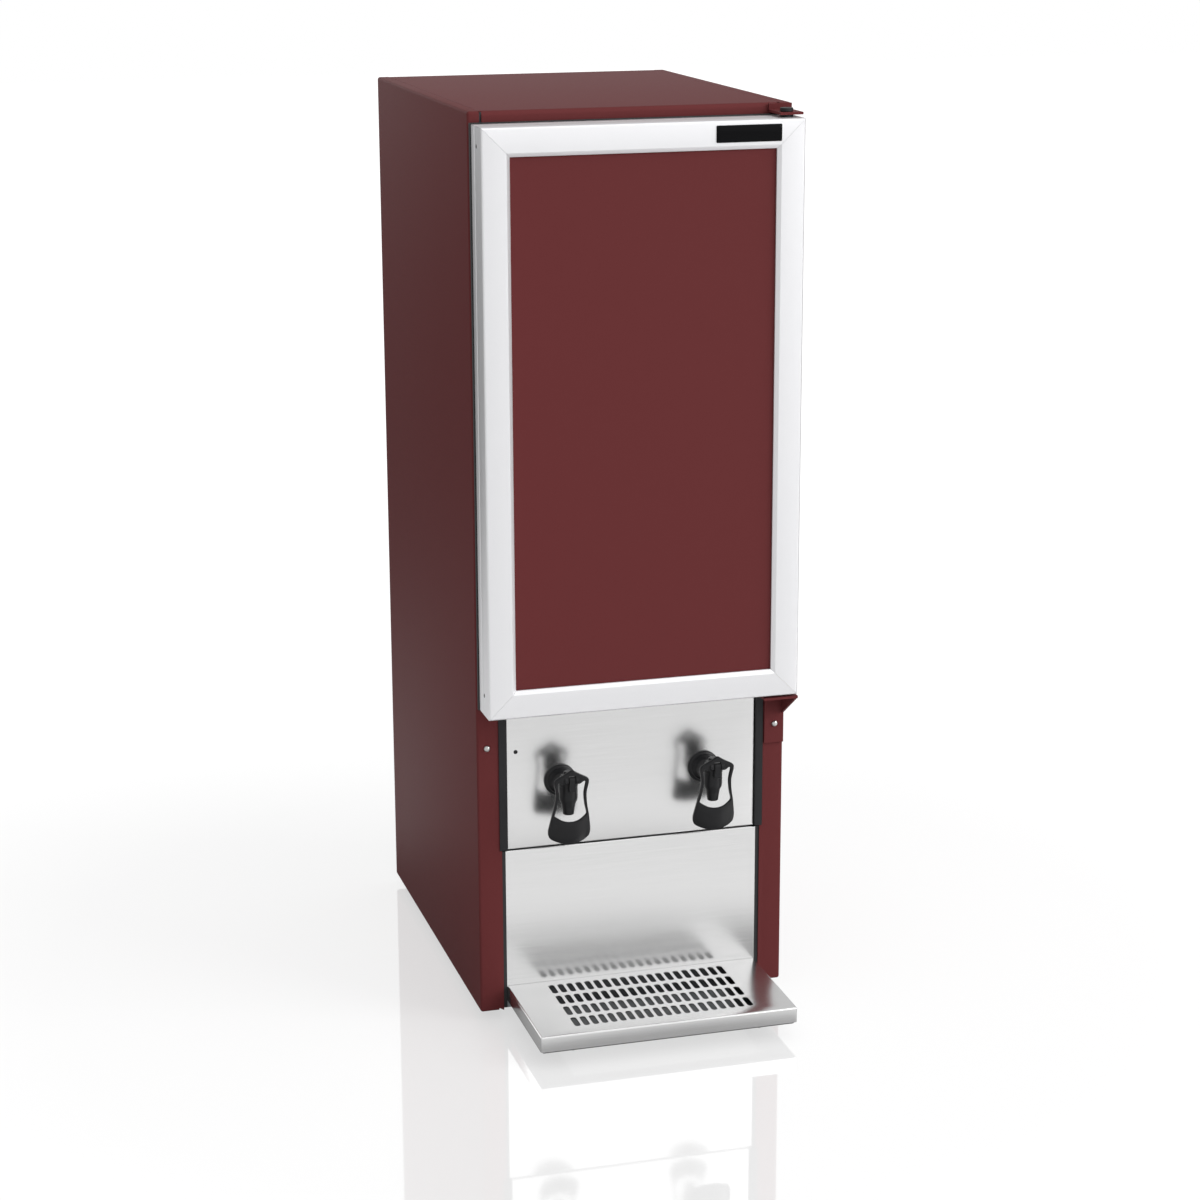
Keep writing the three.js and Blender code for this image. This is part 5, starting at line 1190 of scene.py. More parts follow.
class BuildTaps(bpy.types.Operator):
    """Builds the two taps with their levers, stems, springs and bonnets"""

    bl_idname = "dispenser.build_taps"
    bl_label = "Taps"

    def execute(self, context):
        settings = context.scene.wine_taps
        for name, _ in SIDES:
            middle = middle_of(f"tap_stem_{name}")[2]
            self.body(name, middle.x, middle.y)
            self.lever(name, settings, middle.x, middle.y - 13 * MM)
            self.stem(name, middle.x, middle.y)
            self.spring(name, middle.x, middle.y)
        return {"FINISHED"}

    def body(self, name, x, y):
        """Collar, threaded tail with barbs, spout, the lever's lug, and the bonnet."""
        z, front = TAP_LEVEL, FRONT + 1.3 * MM
        inner = y + 2 * MM
        collar = turned("collar", [*heights(front, COLLAR), (9.5 * MM, inner), (0, inner)], "y",
                        (x, 0, z), 64)
        barrel = turned("body", heights(z, BARREL), "z", (x, y, 0), 56)
        back, face, low, high = y - 9.2 * MM, y - 17 * MM, z + 2 * MM, z + 18 * MM
        lug = prism("lug", filleted([
            (face, low, 2 * MM), (back, low, 0.5 * MM), (back, z + 9.6 * MM, 0.5 * MM),
            (back, high, 1.2 * MM), (face, high, 3.6 * MM)], 1 * MM, 6), "x", x - 3 * MM,
            x + 3 * MM)
        tail = self.tail(name, front, x, z)
        piece(f"tap_{name}_body", join_meshes(collar, tail, barrel, lug), "black", "cabinet",
              [f"tap_body_{name}"], edge=0.25 * MM, sharp=30)
        bonnet = turned("bonnet", heights(z, BONNET), "z", (x, y, 0), 12)
        piece(f"tap_{name}_bonnet", bonnet, "black", "cabinet", [f"tap_bonnet_{name}"],
              edge=0.3 * MM, sharp=25)

    def tail(self, name, front, x, z):
        """The tail behind the panel: a thread, then three barbs for the hose."""
        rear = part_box(f"tap_body_{name}")[1].y
        thread, root, pitch, barb, neck = 7 * MM, 6.4 * MM, 1.5 * MM, 4.8 * MM, 4.2 * MM
        half, end, bore, floor = 0.6 * MM, FRONT + 14 * MM, 3 * MM, front + 1 * MM
        profile = [(0, front), (thread, front)]
        level = front + 2 * MM
        while level < end - 1 * MM:
            profile += [(thread, level), (root, level + half), (thread, level + 2 * half)]
            level += pitch
        profile += [(thread, end), (4.5 * MM, end)]
        for at in (end + 3 * k * MM for k in (1, 2, 3)):
            profile += [(neck, at - 2 * MM), (barb, at), (neck, at + 0.3 * MM)]
        profile += [(neck, rear), (bore, rear), (bore, floor), (0, floor)]
        return turned("shank", profile, "y", (x, 0, z), 32)

    def lever(self, name, settings, x, y):
        """The loop with its slot, the cheeks and tines beside the lug, and the pin."""
        near, cheek, tine, edge, radius = 3.5 * MM, 8 * MM, 7.5 * MM, 0.7 * MM, 4 * MM
        slot = box_mesh("slot", (-near, -9 * MM, -9 * MM), (near, 9 * MM, 6 * MM))
        loop = carved("lever", lever_loop(settings), [slot])
        loop.transform(Matrix.Rotation(settings.rake, 4, "X"))
        parts = [loop]
        for side in (-1, 1):
            parts.append(turned("cheek", [
                (0, side * near), (radius - edge, side * near), (radius, side * (near + edge)),
                (radius, side * (cheek - edge)), (radius - edge, side * cheek),
                (0, side * cheek)], "x", (0, 0, 0), 36))
            outline = filleted([(0, 1 * MM, 0.2 * MM), (14 * MM, 1 * MM, edge),
                                (14 * MM, 3 * MM, edge), (0, 3 * MM, 0.2 * MM)], 0.5 * MM)
            parts.append(prism("tine", outline, "x", *sorted((side * near, side * tine))))
        parts.append(turned("pin", heights(0, [(0, -7), (1.5, -7), (1.5, 7), (0, 7)]), "x",
                            (0, 0, 0), 24))
        for part in parts:
            part.transform(Matrix.Translation((x, y, TAP_LEVEL + 14 * MM)))
        piece(f"tap_{name}_lever", join_meshes(*parts), "black", f"tap_lever_{name}",
              [f"tap_lever_{name}"], sharp=40)

    def stem(self, name, x, y):
        """The stem that the lever lifts, with the valve's plug at its foot."""
        node = f"tap_stem_{name}"
        low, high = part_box(node)
        stem = turned("stem", heights(low.z, PLUG) + heights(high.z, STEM_HEAD), "z", (x, y, 0),
                      40)
        piece(f"tap_{name}_stem", stem, "black", node, [node])

    def spring(self, name, x, y):
        """The return spring, with flat first and last turns, which the stem shortens."""
        node = f"tap_spring_{name}"
        low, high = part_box(node)
        wire, turns, flat, steps, lift = 0.5 * MM, 5.5, 0.1, 110, 3.4 * MM
        radius, rise = (high.x - low.x) / 2 - wire, high.z - low.z - 2 * wire
        path = []
        for share in (k / steps for k in range(steps + 1)):
            level = min(1, max(0, (share - flat) / (1 - 2 * flat)))
            angle = 2 * math.pi * turns * share
            path.append((x + radius * math.cos(angle), y + radius * math.sin(angle),
                         low.z + wire + level * rise))
        spring = piece(f"tap_{name}_spring", tube("spring", path, wire, 8), "bright", "cabinet",
                       [node])
        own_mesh(spring)


class BuildTray(bpy.types.Operator):
    """Builds the drip tray's pan and its slotted grille"""

    bl_idname = "dispenser.build_tray"
    bl_label = "Drip tray"

    def execute(self, context):
        settings = context.scene.wine_tray
        self.grille(settings)
        self.pan()
        return {"FINISHED"}

    def grille(self, settings):
        """The folded plate with its rows of slots."""
        low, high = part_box("drip_grille")
        sheet = folded_box("grille", low, high, ["top", "front", "right", "left"], 1.2 * MM,
                           settings.bend)
        pitch_x, pitch_y, behind = 9.7 * MM, 29 * MM, 22 * MM
        deep = (settings.rows - 1) * pitch_y
        made = grown("grille", sheet, perforated_tree(), {
            "Columns": settings.columns, "Rows": settings.rows,
            "Width": (settings.columns - 1) * pitch_x, "Depth": deep,
            "Middle": (0, high.y - behind - deep / 2, high.z), "Finish": FINISHES["steel"]})
        piece("drip_grille_plate", made, "steel", "drip_grille", ["drip_grille"],
              sharp=30)

    def pan(self):
        """The open pan under the grille."""
        low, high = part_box("drip_tray")
        mesh = folded_box("pan", low, high, ["bottom", "front", "right", "rear", "left"], 1 * MM,
                          2.5 * MM)
        # The pan's darker steel is painted shade under the grille's slots and front lip.
        piece("drip_pan", mesh, "drawn", "drip_tray", ["drip_tray"],
              sharp=30)


def plain_finishes():
    """Gives each CAD node that still shows the finish that its material slot names."""
    finish_of = {
        "painted_steel": "paint", "galvanised_steel": "zinc", "black_enamel": "enamel",
        "rubber": "rubber", "foam": "foam", "stainless_steel": "steel", "black_plastic": "black",
        "white_plastic": "lining", "fin_aluminium": "fins", "frame_aluminium": "aluminium",
        "clear_plastic": "hose", "plate_black": "plate"}
    slots = {row["node"]: row["material_slot"] for row in frame["record"]["subparts"]}
    for name, node in frame["nodes"].items():
        if not node.hide_render:
            node.data.materials.clear()
            node.data.materials.append(FINISHES[finish_of[slots[name]]])


def finned_coil(node, settings, rows):
    """A tube that winds through a stack of fins between two end plates."""
    low, high, middle = middle_of(node)
    size, rise, wall = high - low, (high.z - low.z) / rows, settings.coil_tube
    margin = rise / 2 + wall
    left, right = low.x + margin, high.x - margin
    pitch = (right - left) / settings.fins
    stack = repeated(node + "_fins", None, settings.fins - 1, (left + pitch, middle.y, middle.z),
                     (pitch, 0, 0), "fins", (0.35 * MM, size.y, size.z))
    piece(node + "_fins", stack, "fins", "cabinet", [node])
    ends = repeated(node + "_ends", None, 2, (left, middle.y, middle.z), (right - left, 0, 0),
                    "zinc", (1.2 * MM, size.y, size.z))
    piece(node + "_end_plates", ends, "zinc", "cabinet")
    path = []
    for row in range(rows):
        turns = (low.x + wall, high.x - wall) if row % 2 == 0 else (high.x - wall, low.x + wall)
        path += [(x, middle.y, low.z + rise * (row + 0.5)) for x in turns]
    run = tube("run", rounded_path(path, rise / 2, 8), wall, 12)
    piece(node + "_tubes", run, "copper", "cabinet")


BLADES = 5
BLADE_SPANS, BLADE_CHORDS = 8, 6  # faces of a blade outwards and across
CHORD_SHARE = 0.6  # of a fan's radius
ROOT_SHARE = 0.7  # of the chord, where a blade leaves the hub
CAMBER_SHARE = 0.06  # of the chord
TIP_SHARE = 0.7  # of a blade's length, where its tip begins to round off
BLADE_PITCH = math.radians(26)


def fan_blade(radius, root):
    """Points of a cambered and pitched blade with a rounded tip, upright over its axis."""
    chord, points = radius * CHORD_SHARE, []
    tilt = Matrix.Rotation(BLADE_PITCH, 4, "Z")
    for out in (i / BLADE_SPANS for i in range(BLADE_SPANS + 1)):
        tip = math.sqrt(1 - max(0, out - TIP_SHARE) ** 2 * 3)
        half = chord / 2 * (ROOT_SHARE + (1 - ROOT_SHARE) * out) * tip
        for across in (2 * j / BLADE_CHORDS - 1 for j in range(BLADE_CHORDS + 1)):
            camber = chord * CAMBER_SHARE * (1 - across ** 2)
            points.append(tilt @ Vector((half * across, camber, root + (radius - root) * out)))
    return points


def bladed_fan(name, node, hub, deep):
    """A moulded axial fan on an axis from front to rear: a hub and its blades."""
    centre = PIVOTS[name]
    blade = fan_blade(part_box(node)[1].z - centre.z, hub * 0.8)
    points, faces = [], []
    for turn in (Matrix.Rotation(2 * math.pi * k / BLADES, 4, "Y") for k in range(BLADES)):
        first = len(points)
        points += [turn @ point for point in blade]
        for i in range(BLADE_SPANS):
            start = first + i * (BLADE_CHORDS + 1)
            faces += [(a, a + 1, a + BLADE_CHORDS + 2, a + BLADE_CHORDS + 1)
                      for a in range(start, start + BLADE_CHORDS)]
    blades = modified("blades", mesh_from("blades", points, faces), "SOLIDIFY",
                      thickness=1.6 * MM, offset=0)
    edge = 1.5 * MM
    cap = turned("hub", [(0, -deep / 2), (hub - edge, -deep / 2), (hub, edge - deep / 2),
                         (hub, deep / 2), (0, deep / 2)], "y", (0, 0, 0), 40)
    mesh = join_meshes(blades, cap)
    bmesh.ops.translate(mesh, vec=centre, verts=mesh.verts)
    piece(node + "_moulding", mesh, "black", node, [node], sharp=40)


class BuildColdSpace(bpy.types.Operator):
    """Builds the cold space: lining, shelf, cover, coil, fan, thermostat and wine lines"""

    bl_idname = "dispenser.build_cold_space"
    bl_label = "Cold space"

    def execute(self, context):
        settings = context.scene.wine_inside
        piece("cabinet_lining", merged_copy("inner_liner"), "lining", "cabinet", ["inner_liner"],
              edge=1.5 * MM, steps=4)
        self.shelf(settings)
        self.cover()
        finned_coil("evaporator", settings, 4)
        bladed_fan("evaporator_fan_spin", "evaporator_fan", 12 * MM, 10 * MM)
        self.motor()
        self.thermostat()
        for name, _ in SIDES:
            self.connector(name)
            self.hose(name)
        return {"FINISHED"}

    def shelf(self, settings):
        """A welded wire shelf: a round rim, two cross bars and a row of thin wires."""
        low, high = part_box("shelf")
        rim, bar, thin, corner = (high.z - low.z) / 2, 2.4 * MM, 1.7 * MM, 12 * MM
        z = high.z - rim
        left, right, front, rear = low.x + rim, high.x - rim, low.y + rim, high.y - rim
        outline = [(x, y, z) for x, y in rectangle(left, front, right, rear)]
        ring = tube("rim", rounded_path(outline, corner, 8, True), rim, 16, True)
        third = (rear - front) / 3
        bars = [tube("bar", [(left, y, z), (right, y, z)], bar, 12)
                for y in (front + third, rear - third)]
        wire = tube("wire", [(0, front, 0), (0, rear, 0)], thin, 10)
        pitch = (right - left) / (settings.shelf_wires + 1)
        row = repeated("shelf_wires", wire, settings.shelf_wires, (left + pitch, 0, z + 1 * MM),
                       (pitch, 0, 0), "bright")
        piece("wire_shelf", join_meshes(ring, *bars, row), "bright", "cabinet", ["shelf"],
              sharp=50)

    def cover(self):
        """The coil's cover with rings across the fan's opening and a screw in each corner."""
        low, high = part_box("evaporator_cover")
        piece("coil_cover", merged_copy("evaporator_cover"), "lining", "cabinet",
              ["evaporator_cover"], edge=0.7 * MM, steps=3)
        centre, turns = PIVOTS["evaporator_fan_spin"], 48
        angles = [2 * math.pi * k / turns for k in range(turns)]
        rings = []
        for radius in (12 * MM, 20 * MM, 36 * MM, 44 * MM):
            path = [(centre.x + radius * math.cos(a), low.y + 1 * MM,
                     centre.z + radius * math.sin(a)) for a in angles]
            rings.append(tube("ring", path, 0.9 * MM, 8, True))
        piece("fan_guard_rings", join_meshes(*rings), "lining", "cabinet")
        inset = 8 * MM
        screws("cover_screws", at_corners((low.x + inset, high.x - inset), low.y,
                                          (low.z + inset, high.z - inset)), (0, -1, 0),
               "bright", "cabinet")

    def motor(self):
        """The fan motor's can with a groove round it, and its shaft."""
        low, high, middle = middle_of("evaporator_fan_motor")
        can, boss, edge, shaft = (high.z - low.z) / 2, 6.5 * MM, 1.2 * MM, 2.5 * MM
        front, step, small = high.y - 20 * MM, 2 * MM, 0.4 * MM
        groove, half, depth = (front + high.y) / 2, 0.6 * MM, 0.5 * MM
        mesh = turned("motor", [
            (0, low.y), (shaft - small, low.y), (shaft, low.y + small), (shaft, front - step),
            (boss - depth, front - step), (boss, front), (can - edge, front),
            (can, front + edge), (can, groove - half), (can - depth, groove),
            (can, groove + half), (can, high.y - edge), (can - edge, high.y), (0, high.y)],
            "y", (middle.x, 0, middle.z), 48)
        piece("evaporator_fan_can", mesh, "enamel", "cabinet", ["evaporator_fan_motor"])

    def thermostat(self):
        """The knob with its pointer, and the plain digits round it on the cover."""
        low, high, middle = middle_of("thermostat_knob")
        x, z, radius, shaft, wide = middle.x, middle.z, (high.z - low.z) / 2, 3.4 * MM, 2.4 * MM
        skirt = turned("skirt", [
            (shaft, high.y), (radius, high.y), (radius, high.y - 2 * MM),
            (radius - 1 * MM, middle.y + 0.6 * MM), (radius - 2.2 * MM, middle.y),
            (shaft, middle.y), (shaft, high.y)], "y", (x, 0, z), 48)
        grip_end = radius - 1 * MM
        grip = prism("grip", filleted(rectangle(x - wide, z - grip_end, x + wide, z + grip_end),
                                      1.8 * MM, 5), "y", low.y, middle.y + 0.5 * MM)
        piece("thermostat_dial", join_meshes(skirt, grip), "black", "thermostat_knob",
              ["thermostat_knob"], edge=0.4 * MM)
        mark = box_mesh("mark", (x - 0.6 * MM, low.y - 0.15 * MM, z + 4 * MM),
                        (x + 0.6 * MM, low.y + 0.3 * MM, z + radius - 1.6 * MM))
        piece("thermostat_pointer", mark, "lining", "thermostat_knob")
        ring, face = 19.5 * MM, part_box("evaporator_cover")[0].y - 0.1 * MM
        digits = []
        for step, label in enumerate("6543210"):
            angle = math.radians(45 * step)
            place = Vector((x - ring * math.sin(angle), face, z + ring * math.cos(angle)))
            digits.append(digit_mesh(label, 6 * MM, place))
        piece("thermostat_digits", join_meshes(*digits), "trim", "cabinet")

    def connector(self, name):
        """The bag's connector: a barbed spigot below, a ribbed grip and an open socket above."""
        node = f"bag_connector_{name}"
        low, high, middle = middle_of(node)
        wide, floor, tall = (high.x - low.x) / 2, high.z - 28 * MM, high.z
        barb, bore, socket, edge, rib = 4.4 * MM, 3 * MM, 10 * MM, 0.8 * MM, 0.7 * MM
        profile = [(bore, low.z), (barb - 0.6 * MM, low.z)]
        for at in (low.z + (2.5 + 3.5 * k) * MM for k in range(3)):
            profile += [(barb, at), (barb - rib, at + 0.4 * MM)]
        profile += [(barb, floor), (wide - edge, floor), (wide, floor + edge)]
        profile += grooves(wide, rib, floor + 5 * MM, 3 * MM, 4, 2 * MM)
        profile += [(wide, tall - edge), (wide - edge, tall), (socket + edge, tall),
                    (socket, tall - edge), (socket, floor + 6 * MM), (bore, floor + 6 * MM),
                    (bore, low.z)]
        piece(node + "_moulding", turned(node, profile, "z", (middle.x, middle.y, 0), 48),
              "lining", "cabinet", [node], sharp=30)

    def hose(self, name):
        """The hose that runs back from the tap and bends up to the connector."""
        node, x = f"wine_hose_{name}", middle_of(f"bag_connector_{name}")[2].x
        low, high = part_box(node)
        radius, wall = (high.x - low.x) / 2, 1.6 * MM
        z, rise = low.z + radius, high.y - radius
        route = rounded_path([(x, low.y, z), (x, rise, z), (x, rise, high.z)], 20 * MM, 16)
        piece(node + "_length", tube(node, route, radius, 24, bore=radius - wall), "hose",
              "cabinet", [node], sharp=50)


def digit_mesh(label, size, place):
    """A digit as a mesh that faces the front."""
    curve = bpy.data.curves.new("digit", "FONT")
    curve.body, curve.size, curve.extrude = label, size, 0.1 * MM
    curve.align_x, curve.align_y = "CENTER", "CENTER"
    mesh = shown_mesh(bpy.data.objects.new("digit", curve))
    mesh.transform(Matrix.Translation(place) @ Matrix.Rotation(math.pi / 2, 4, "X"))
    return mesh


CONDENSER_ROWS = 8  # runs of tube, one above the other
POT_ROUNDING = 0.2  # of the pot's radius, at its bottom edge
POT_DEPTH = 0.45  # of the pot's radius, over which the bottom edge rounds


class BuildMachine(bpy.types.Operator):
    """Builds the machine space: compressor, coil, fan, pan, pipes and electrical box"""

    bl_idname = "dispenser.build_machine"
    bl_label = "Machine space"

    def execute(self, context):
        settings = context.scene.wine_inside
        self.compressor()
        finned_coil("condenser", settings, CONDENSER_ROWS)
        bladed_fan("condenser_fan_spin", "condenser_fan", 16 * MM, 14 * MM)
        self.motor()
        self.pipes()
        piece("condensate_tray", merged_copy("condensate_pan"), "trim", "cabinet",
              ["condensate_pan"], edge=0.8 * MM, steps=3)
        self.electrical_box()
        plain_finishes()
        return {"FINISHED"}

    def compressor(self):
        """A drawn steel pot in two halves with its weld, terminal cover and rubber mounts."""
        low, high, middle = middle_of("compressor")
        x, y = middle.x, middle.y
        radius, foot, base = 64 * MM, low.z + 7 * MM, low.z + 10 * MM
        seam, weld, lap, dome = (base + high.z) / 2, 1.6 * MM, 1 * MM, 22 * MM
        profile = [(0, base), (radius * (1 - POT_ROUNDING), base)]
        profile += [(radius * (1 - POT_ROUNDING + POT_ROUNDING * math.sin(a)),
                     base + radius * POT_DEPTH * (1 - math.cos(a)))
                    for a in (math.pi / 2 * k / 8 for k in range(1, 9))]
        profile += [(radius, seam - 5 * MM), (radius + weld, seam - 4 * MM),
                    (radius + weld, seam + 3 * MM), (radius - lap, seam + 4 * MM)]
        crown = high.z - seam - dome
        profile += [((radius - lap) * math.cos(a), high.z - crown * (1 - math.sin(a)))
                    for a in (math.pi / 2 * k / 12 for k in range(13))]
        pot = turned("pot", profile, "z", (x, y, 0), 64)
        piece("compressor_pot", pot, "enamel", "cabinet", ["compressor"])
        plate = prism("plate", filleted(rectangle(low.x, low.y, high.x, high.y), 14 * MM, 6), "z",
                      foot, base)
        piece("compressor_base", plate, "enamel", "cabinet", edge=0.4 * MM)
        post = 9 * MM
        reach, neck, top = high.x - x - post, post - 3 * MM, base + 3 * MM
        mounts = [turned("mount", [
            (0, low.z), (post, low.z), (post, low.z + 2 * MM), (post - 2 * MM, low.z + 3.5 * MM),
            (post, low.z + 5 * MM), (post, foot), (neck, foot), (neck, top), (0, top)], "z",
            (place_x, place_y, 0), 24)
            for place_x, place_y in rectangle(x - reach, y - reach, x + reach, y + reach)]
        piece("compressor_mounts", join_meshes(*mounts), "rubber", "cabinet",
              edge=0.4 * MM)
        wide, bottom, tall = 24 * MM, 70 * MM, 58 * MM
        cover = prism("cover", filleted(rectangle(x - wide, bottom, x + wide, bottom + tall),
                                        6 * MM, 5), "y", low.y - 18 * MM, low.y + 14 * MM)
        piece("compressor_terminal_cover", cover, "trim", "cabinet",
              edge=1.2 * MM, steps=3)

    def pipes(self):
        """Copper lines from the pot to the coil and up to the cold space."""
        pot = middle_of("compressor")[2]
        coil_low, coil_high, coil = middle_of("condenser")
        roof, line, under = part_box("back_panel")[0].z + 1 * MM, 3.2 * MM, pot.z - 20 * MM
        row = (coil_high.z - coil_low.z) / CONDENSER_ROWS
        inlet, outlet = coil_high.z - row / 2, coil_low.z + row / 2
        end = coil_low.x + 4 * MM
        beside, behind = end - 20 * MM, end - 34 * MM
        discharge = [(pot.x + 40 * MM, pot.y, pot.z), (beside, pot.y, pot.z),
                     (beside, coil.y, inlet), (end, coil.y, inlet)]
        corner = pot + Vector((44 * MM, 84 * MM, 0))
        suction = [(pot.x + 30 * MM, pot.y + 46 * MM, under), (corner.x, corner.y, under),
                   (corner.x, corner.y, roof)]
        liquid = [(end, coil.y, outlet), (behind, coil.y, outlet), (behind, coil.y, roof)]
        pipes = [tube("pipe", rounded_path(route, 18 * MM, 8), line, 14)
                 for route in (discharge, suction, liquid)]
        piece("copper_lines", join_meshes(*pipes), "copper", "cabinet")

    def motor(self):
        """The condenser fan's ribbed motor on its leg."""
        low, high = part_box("condenser_fan_motor")
        centre = PIVOTS["condenser_fan_spin"]
        can, boss, edge, shaft, small = 22 * MM, 7 * MM, 1.5 * MM, 3 * MM, 0.4 * MM
        rear, step = low.y + 32 * MM, 2 * MM
        profile = [(0, low.y), (can - edge, low.y), (can, low.y + edge),
                   *grooves(can, 1 * MM, low.y + 6 * MM, 6 * MM, 4, 2 * MM, 0.6 * MM),
                   (can, rear - edge), (can - edge, rear), (boss, rear), (boss, rear + step),
                   (shaft, rear + step), (shaft, high.y - small), (shaft - small, high.y),
                   (0, high.y)]
        body = turned("motor", profile, "y", (centre.x, 0, centre.z), 48)
        middle, half, wide, narrow = (low.y + rear) / 2, 8 * MM, 13 * MM, 7.8 * MM
        top = centre.z - can * 0.6
        leg = prism("leg", filleted([
            (centre.x - wide, low.z), (centre.x + wide, low.z), (centre.x + narrow, top),
            (centre.x - narrow, top)], 1 * MM), "y", middle - half, middle + half)
        piece("condenser_fan_can", join_meshes(body, leg), "enamel", "cabinet",
              ["condenser_fan_motor"])

    def electrical_box(self):
        """The box with the mains inlet, and its screws."""
        low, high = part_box("electrical_box")
        piece("electrical_case", merged_copy("electrical_box"), "trim", "cabinet",
              ["electrical_box"], edge=0.5 * MM, steps=3)
        inset = 7 * MM
        screws("electrical_case_screws", at_corners(
            (low.x + inset, high.x - inset), low.y, (low.z + inset, high.z - inset)),
            (0, -1, 0), "bright", "cabinet", radius=2.8)


BRIGHT_SIDE = (0.5, -0.86, 0.1)  # where the room is brightest
CARD_SIDE = (0.6, 0.8, 0)  # where dark cards lie on the floor
WALL_SIDE = (0.95, 0.3, 0)  # where a dark card stands, which draws the right-hand edges of metal
METAL_SHARE = 0.3  # of the white background that metal and glass show
IMAGE_SHARE = 0.4  # of the white floor that mirrors the object
# Painted shadow round the object's foot, seen only by metal in the floor: darkest within 0.36 m, gone by half a
# metre, faintly dark again a metre off.
NEAR_PAINTED_SHADE = ((0.36, 0.56), (0.5, 0), (0.7, 0), (1, 0.14))  # metres from the middle, darkness
LAMP_TARGET = Vector((0, 0, 0.45))


class BuildStage(bpy.types.Operator):
    """Sets the floor, the world, the lamps and the camera"""

    bl_idname = "dispenser.build_stage"
    bl_label = "Stage"

    def execute(self, context):
        settings = context.scene.wine_stage
        scene = context.scene
        scene.view_settings.view_transform = "Standard"
        self.floor(settings)
        self.world(scene)
        self.lamps(scene, settings)
        self.camera(scene, settings)
        return {"FINISHED"}

    def floor(self, settings):
        """A pale lacquered floor that keeps the object's shadow and a faint mirror image on
        white. Metal sees it dark behind, as a studio's dark cards would have it, and dark close
        by, where that darkness is painted shadow round the object's foot."""
        material, tree, shader, place = start_material(
            "pale_lacquered_floor", tuple(settings.floor), Roughness=0.06, IOR=1.9)
        rays = add(tree, "ShaderNodeLightPath").outputs
        away = add(tree, "ShaderNodeVectorMath", {0: place}, operation="LENGTH").outputs["Value"]
        far_card = spread(tree, along(tree, place, CARD_SIDE), 0.4, 1.2, 0, 0.85)
        # Painted shadow round the object's foot, which only metal sees in the floor.
        near_shade = add(tree, "ShaderNodeValToRGB", {0: away})
        ramp = near_shade.color_ramp.elements
        ramp.remove(ramp[1])
        for metres, level in NEAR_PAINTED_SHADE:
            ramp.new(metres).color = (level, level, level, 1)
        ramp.remove(ramp[0])
        # Dark cards behind, and painted shadow close by.
        cards_and_shade = calculate(tree, "MAXIMUM", far_card, near_shade.outputs[0])
        dark = calculate(tree, "MULTIPLY", cards_and_shade, rays["Is Glossy Ray"])
        mirrors = calculate(tree, "MAXIMUM", rays["Is Glossy Ray"], rays["Is Transmission Ray"])
        part = calculate(tree, "MULTIPLY", mirrors, METAL_SHARE)
        clear = spread(tree, away, 0.6, 2.2, 0.64, 1)
        seen = calculate(tree, "MULTIPLY", clear, rays["Is Camera Ray"])
        white = add(tree, "ShaderNodeEmission", {"Color": (1, 1, 1, 1), "Strength": 1.24})
        glow = add(tree, "ShaderNodeEmission", {"Color": (1, 1, 1, 1), "Strength": 1.56})
        image = add(tree, "ShaderNodeBsdfGlossy", {"Roughness": 0.03})
        shown = covered(tree, IMAGE_SHARE, glow.outputs[0], image.outputs[0])
        both = covered(tree, part, shader.outputs[0], white.outputs[0])
        whitened = covered(tree, seen, both, shown)
        output = next(n for n in tree.nodes if n.type == "OUTPUT_MATERIAL")
        tree.links.new(covered(tree, dark, whitened), output.inputs["Surface"])
        half = 12
        corners = [(x, y, 0) for x, y in rectangle(-half, -half, half, half)]
        mesh = mesh_from("floor", corners, [(0, 1, 2, 3)])
        mesh.materials.append(material)
        obj = bpy.data.objects.new("floor", mesh)
        bpy.context.scene.collection.objects.link(obj)

    def world(self, scene):
        """A soft room, brighter in front and to the right, with a white background and a dark
        card that only metal sees."""
        world = bpy.data.worlds.new("studio")
        scene.world = world
        world.use_nodes = True
        tree = world.node_tree
        tree.nodes.clear()
        rays = add(tree, "ShaderNodeLightPath").outputs
        direction = add(tree, "ShaderNodeTexCoord").outputs["Generated"]
        lean = along(tree, direction, BRIGHT_SIDE)
        room, white = [
            add(tree, "ShaderNodeBackground", {"Color": (1, 1, 1, 1), "Strength": strength})
            for strength in (spread(tree, lean, -1, 1, 0.15, 1.05), 1.0)]
        plain = calculate(tree, "MAXIMUM", rays["Is Camera Ray"], rays["Is Transmission Ray"])
        backdrop = spread(tree, lean, -0.8, -0.2, 0.65, METAL_SHARE)
        metal = calculate(tree, "MULTIPLY", rays["Is Glossy Ray"], backdrop)
        seen = calculate(tree, "MAXIMUM", plain, metal)
        mixed = covered(tree, seen, room.outputs[0], white.outputs[0])
        card = spread(tree, along(tree, direction, WALL_SIDE), 0.7, 0.9, 0, 0.9)
        dark = calculate(tree, "MULTIPLY", rays["Is Glossy Ray"], card)
        add(tree, "ShaderNodeOutputWorld", {"Surface": covered(tree, dark, mixed)})

    def lamps(self, scene, settings):
        for name, place, size, power in (
            ("key", (5, -3.6, 3.35), 4.0, settings.key),
            ("top", (0.2, -0.6, 3.4), 1.6, settings.top),
            ("fill", (-1.4, 2.8, 1.8), 1.8, settings.fill),
        ):
            lamp = bpy.data.lights.new(name, "AREA")
            lamp.size, lamp.energy = size, power
            obj = bpy.data.objects.new(name, lamp)
            obj.location = place
            aim = LAMP_TARGET - Vector(place)
            obj.rotation_euler = aim.to_track_quat("-Z", "Y").to_euler()
            scene.collection.objects.link(obj)

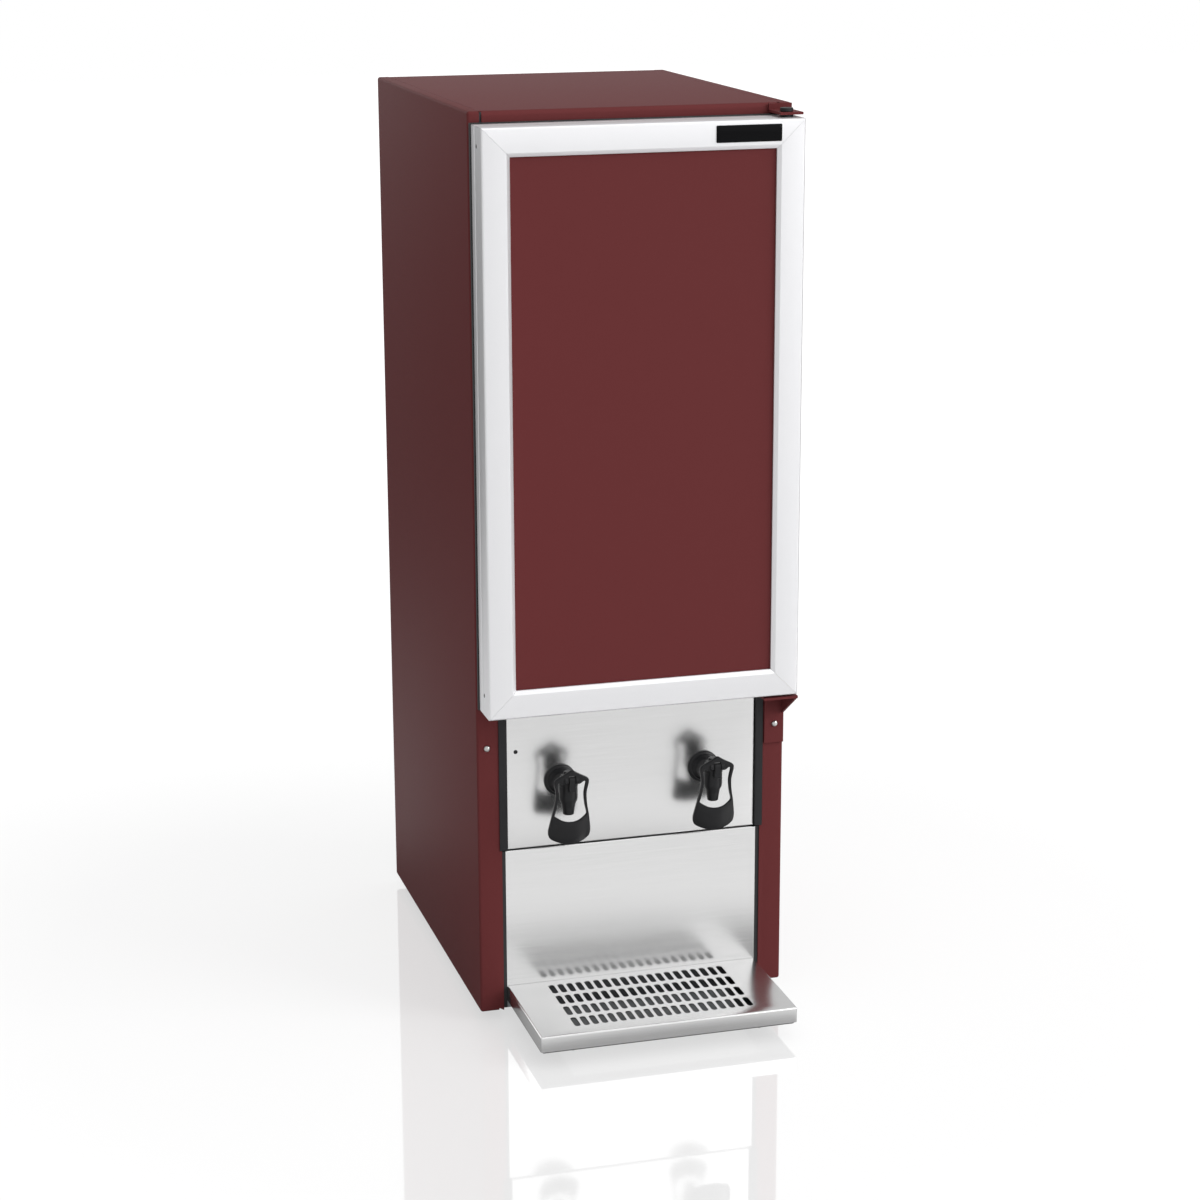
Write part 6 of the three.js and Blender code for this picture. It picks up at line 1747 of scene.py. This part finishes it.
    def camera(self, scene, settings):
        """The photograph's view: its angles, its distance and the point that it looks at."""
        azimuth, elevation, roll, distance = -0.2763, 0.264, -0.0038, 2.86249
        target = Vector((-0.03404, FRONT, 0.43664 + BASE))
        back = Vector((math.sin(azimuth) * math.cos(elevation),
                       -math.cos(azimuth) * math.cos(elevation), math.sin(elevation)))
        right = Vector((math.cos(azimuth), math.sin(azimuth), 0))
        up = back.cross(right)
        turned_right = right * math.cos(roll) + up * math.sin(roll)
        turned_up = up * math.cos(roll) - right * math.sin(roll)
        lens = bpy.data.cameras.new("camera")
        lens.lens, lens.sensor_width = settings.lens, 36
        lens.clip_start, lens.clip_end = 0.05, 60
        obj = bpy.data.objects.new("camera", lens)
        obj.matrix_world = Matrix.Translation(target + back * distance) @ Matrix(
            (turned_right, turned_up, back)).transposed().to_4x4()
        scene.collection.objects.link(obj)
        scene.camera = obj


class DispenserPanel(bpy.types.Panel):
    """Lists the builders of the dispenser"""

    bl_idname = "VIEW3D_PT_dispenser"
    bl_label = "Wine dispenser"
    bl_space_type = "VIEW_3D"
    bl_region_type = "UI"
    bl_category = "Dispenser"

    def draw(self, context):
        for operator in OPERATORS:
            self.layout.operator(operator.bl_idname)
        for name, group in GROUPS.items():
            box = self.layout.box()
            for prop in group.__annotations__:
                box.prop(getattr(context.scene, name), prop)


GROUPS = {"wine_cabinet": CabinetSettings, "wine_door": DoorSettings, "wine_taps": TapSettings,
          "wine_tray": TraySettings, "wine_inside": InsideSettings, "wine_stage": StageSettings}
OPERATORS = (BuildCabinet, BuildFront, BuildDoor, BuildTaps, BuildTray, BuildColdSpace,
             BuildMachine, BuildStage)


def register():
    for cls in (*GROUPS.values(), *OPERATORS, DispenserPanel):
        bpy.utils.register_class(cls)
    for name, group in GROUPS.items():
        setattr(bpy.types.Scene, name, bpy.props.PointerProperty(type=group))


def unregister():
    for name in GROUPS:
        delattr(bpy.types.Scene, name)
    for cls in reversed((*GROUPS.values(), *OPERATORS, DispenserPanel)):
        bpy.utils.unregister_class(cls)


def main():
    """Builds everything in order."""
    register()
    make_finishes()
    for operator in OPERATORS:
        group, name = operator.bl_idname.split(".")
        getattr(getattr(bpy.ops, group), name)()


if __name__ == "__main__":
    main()
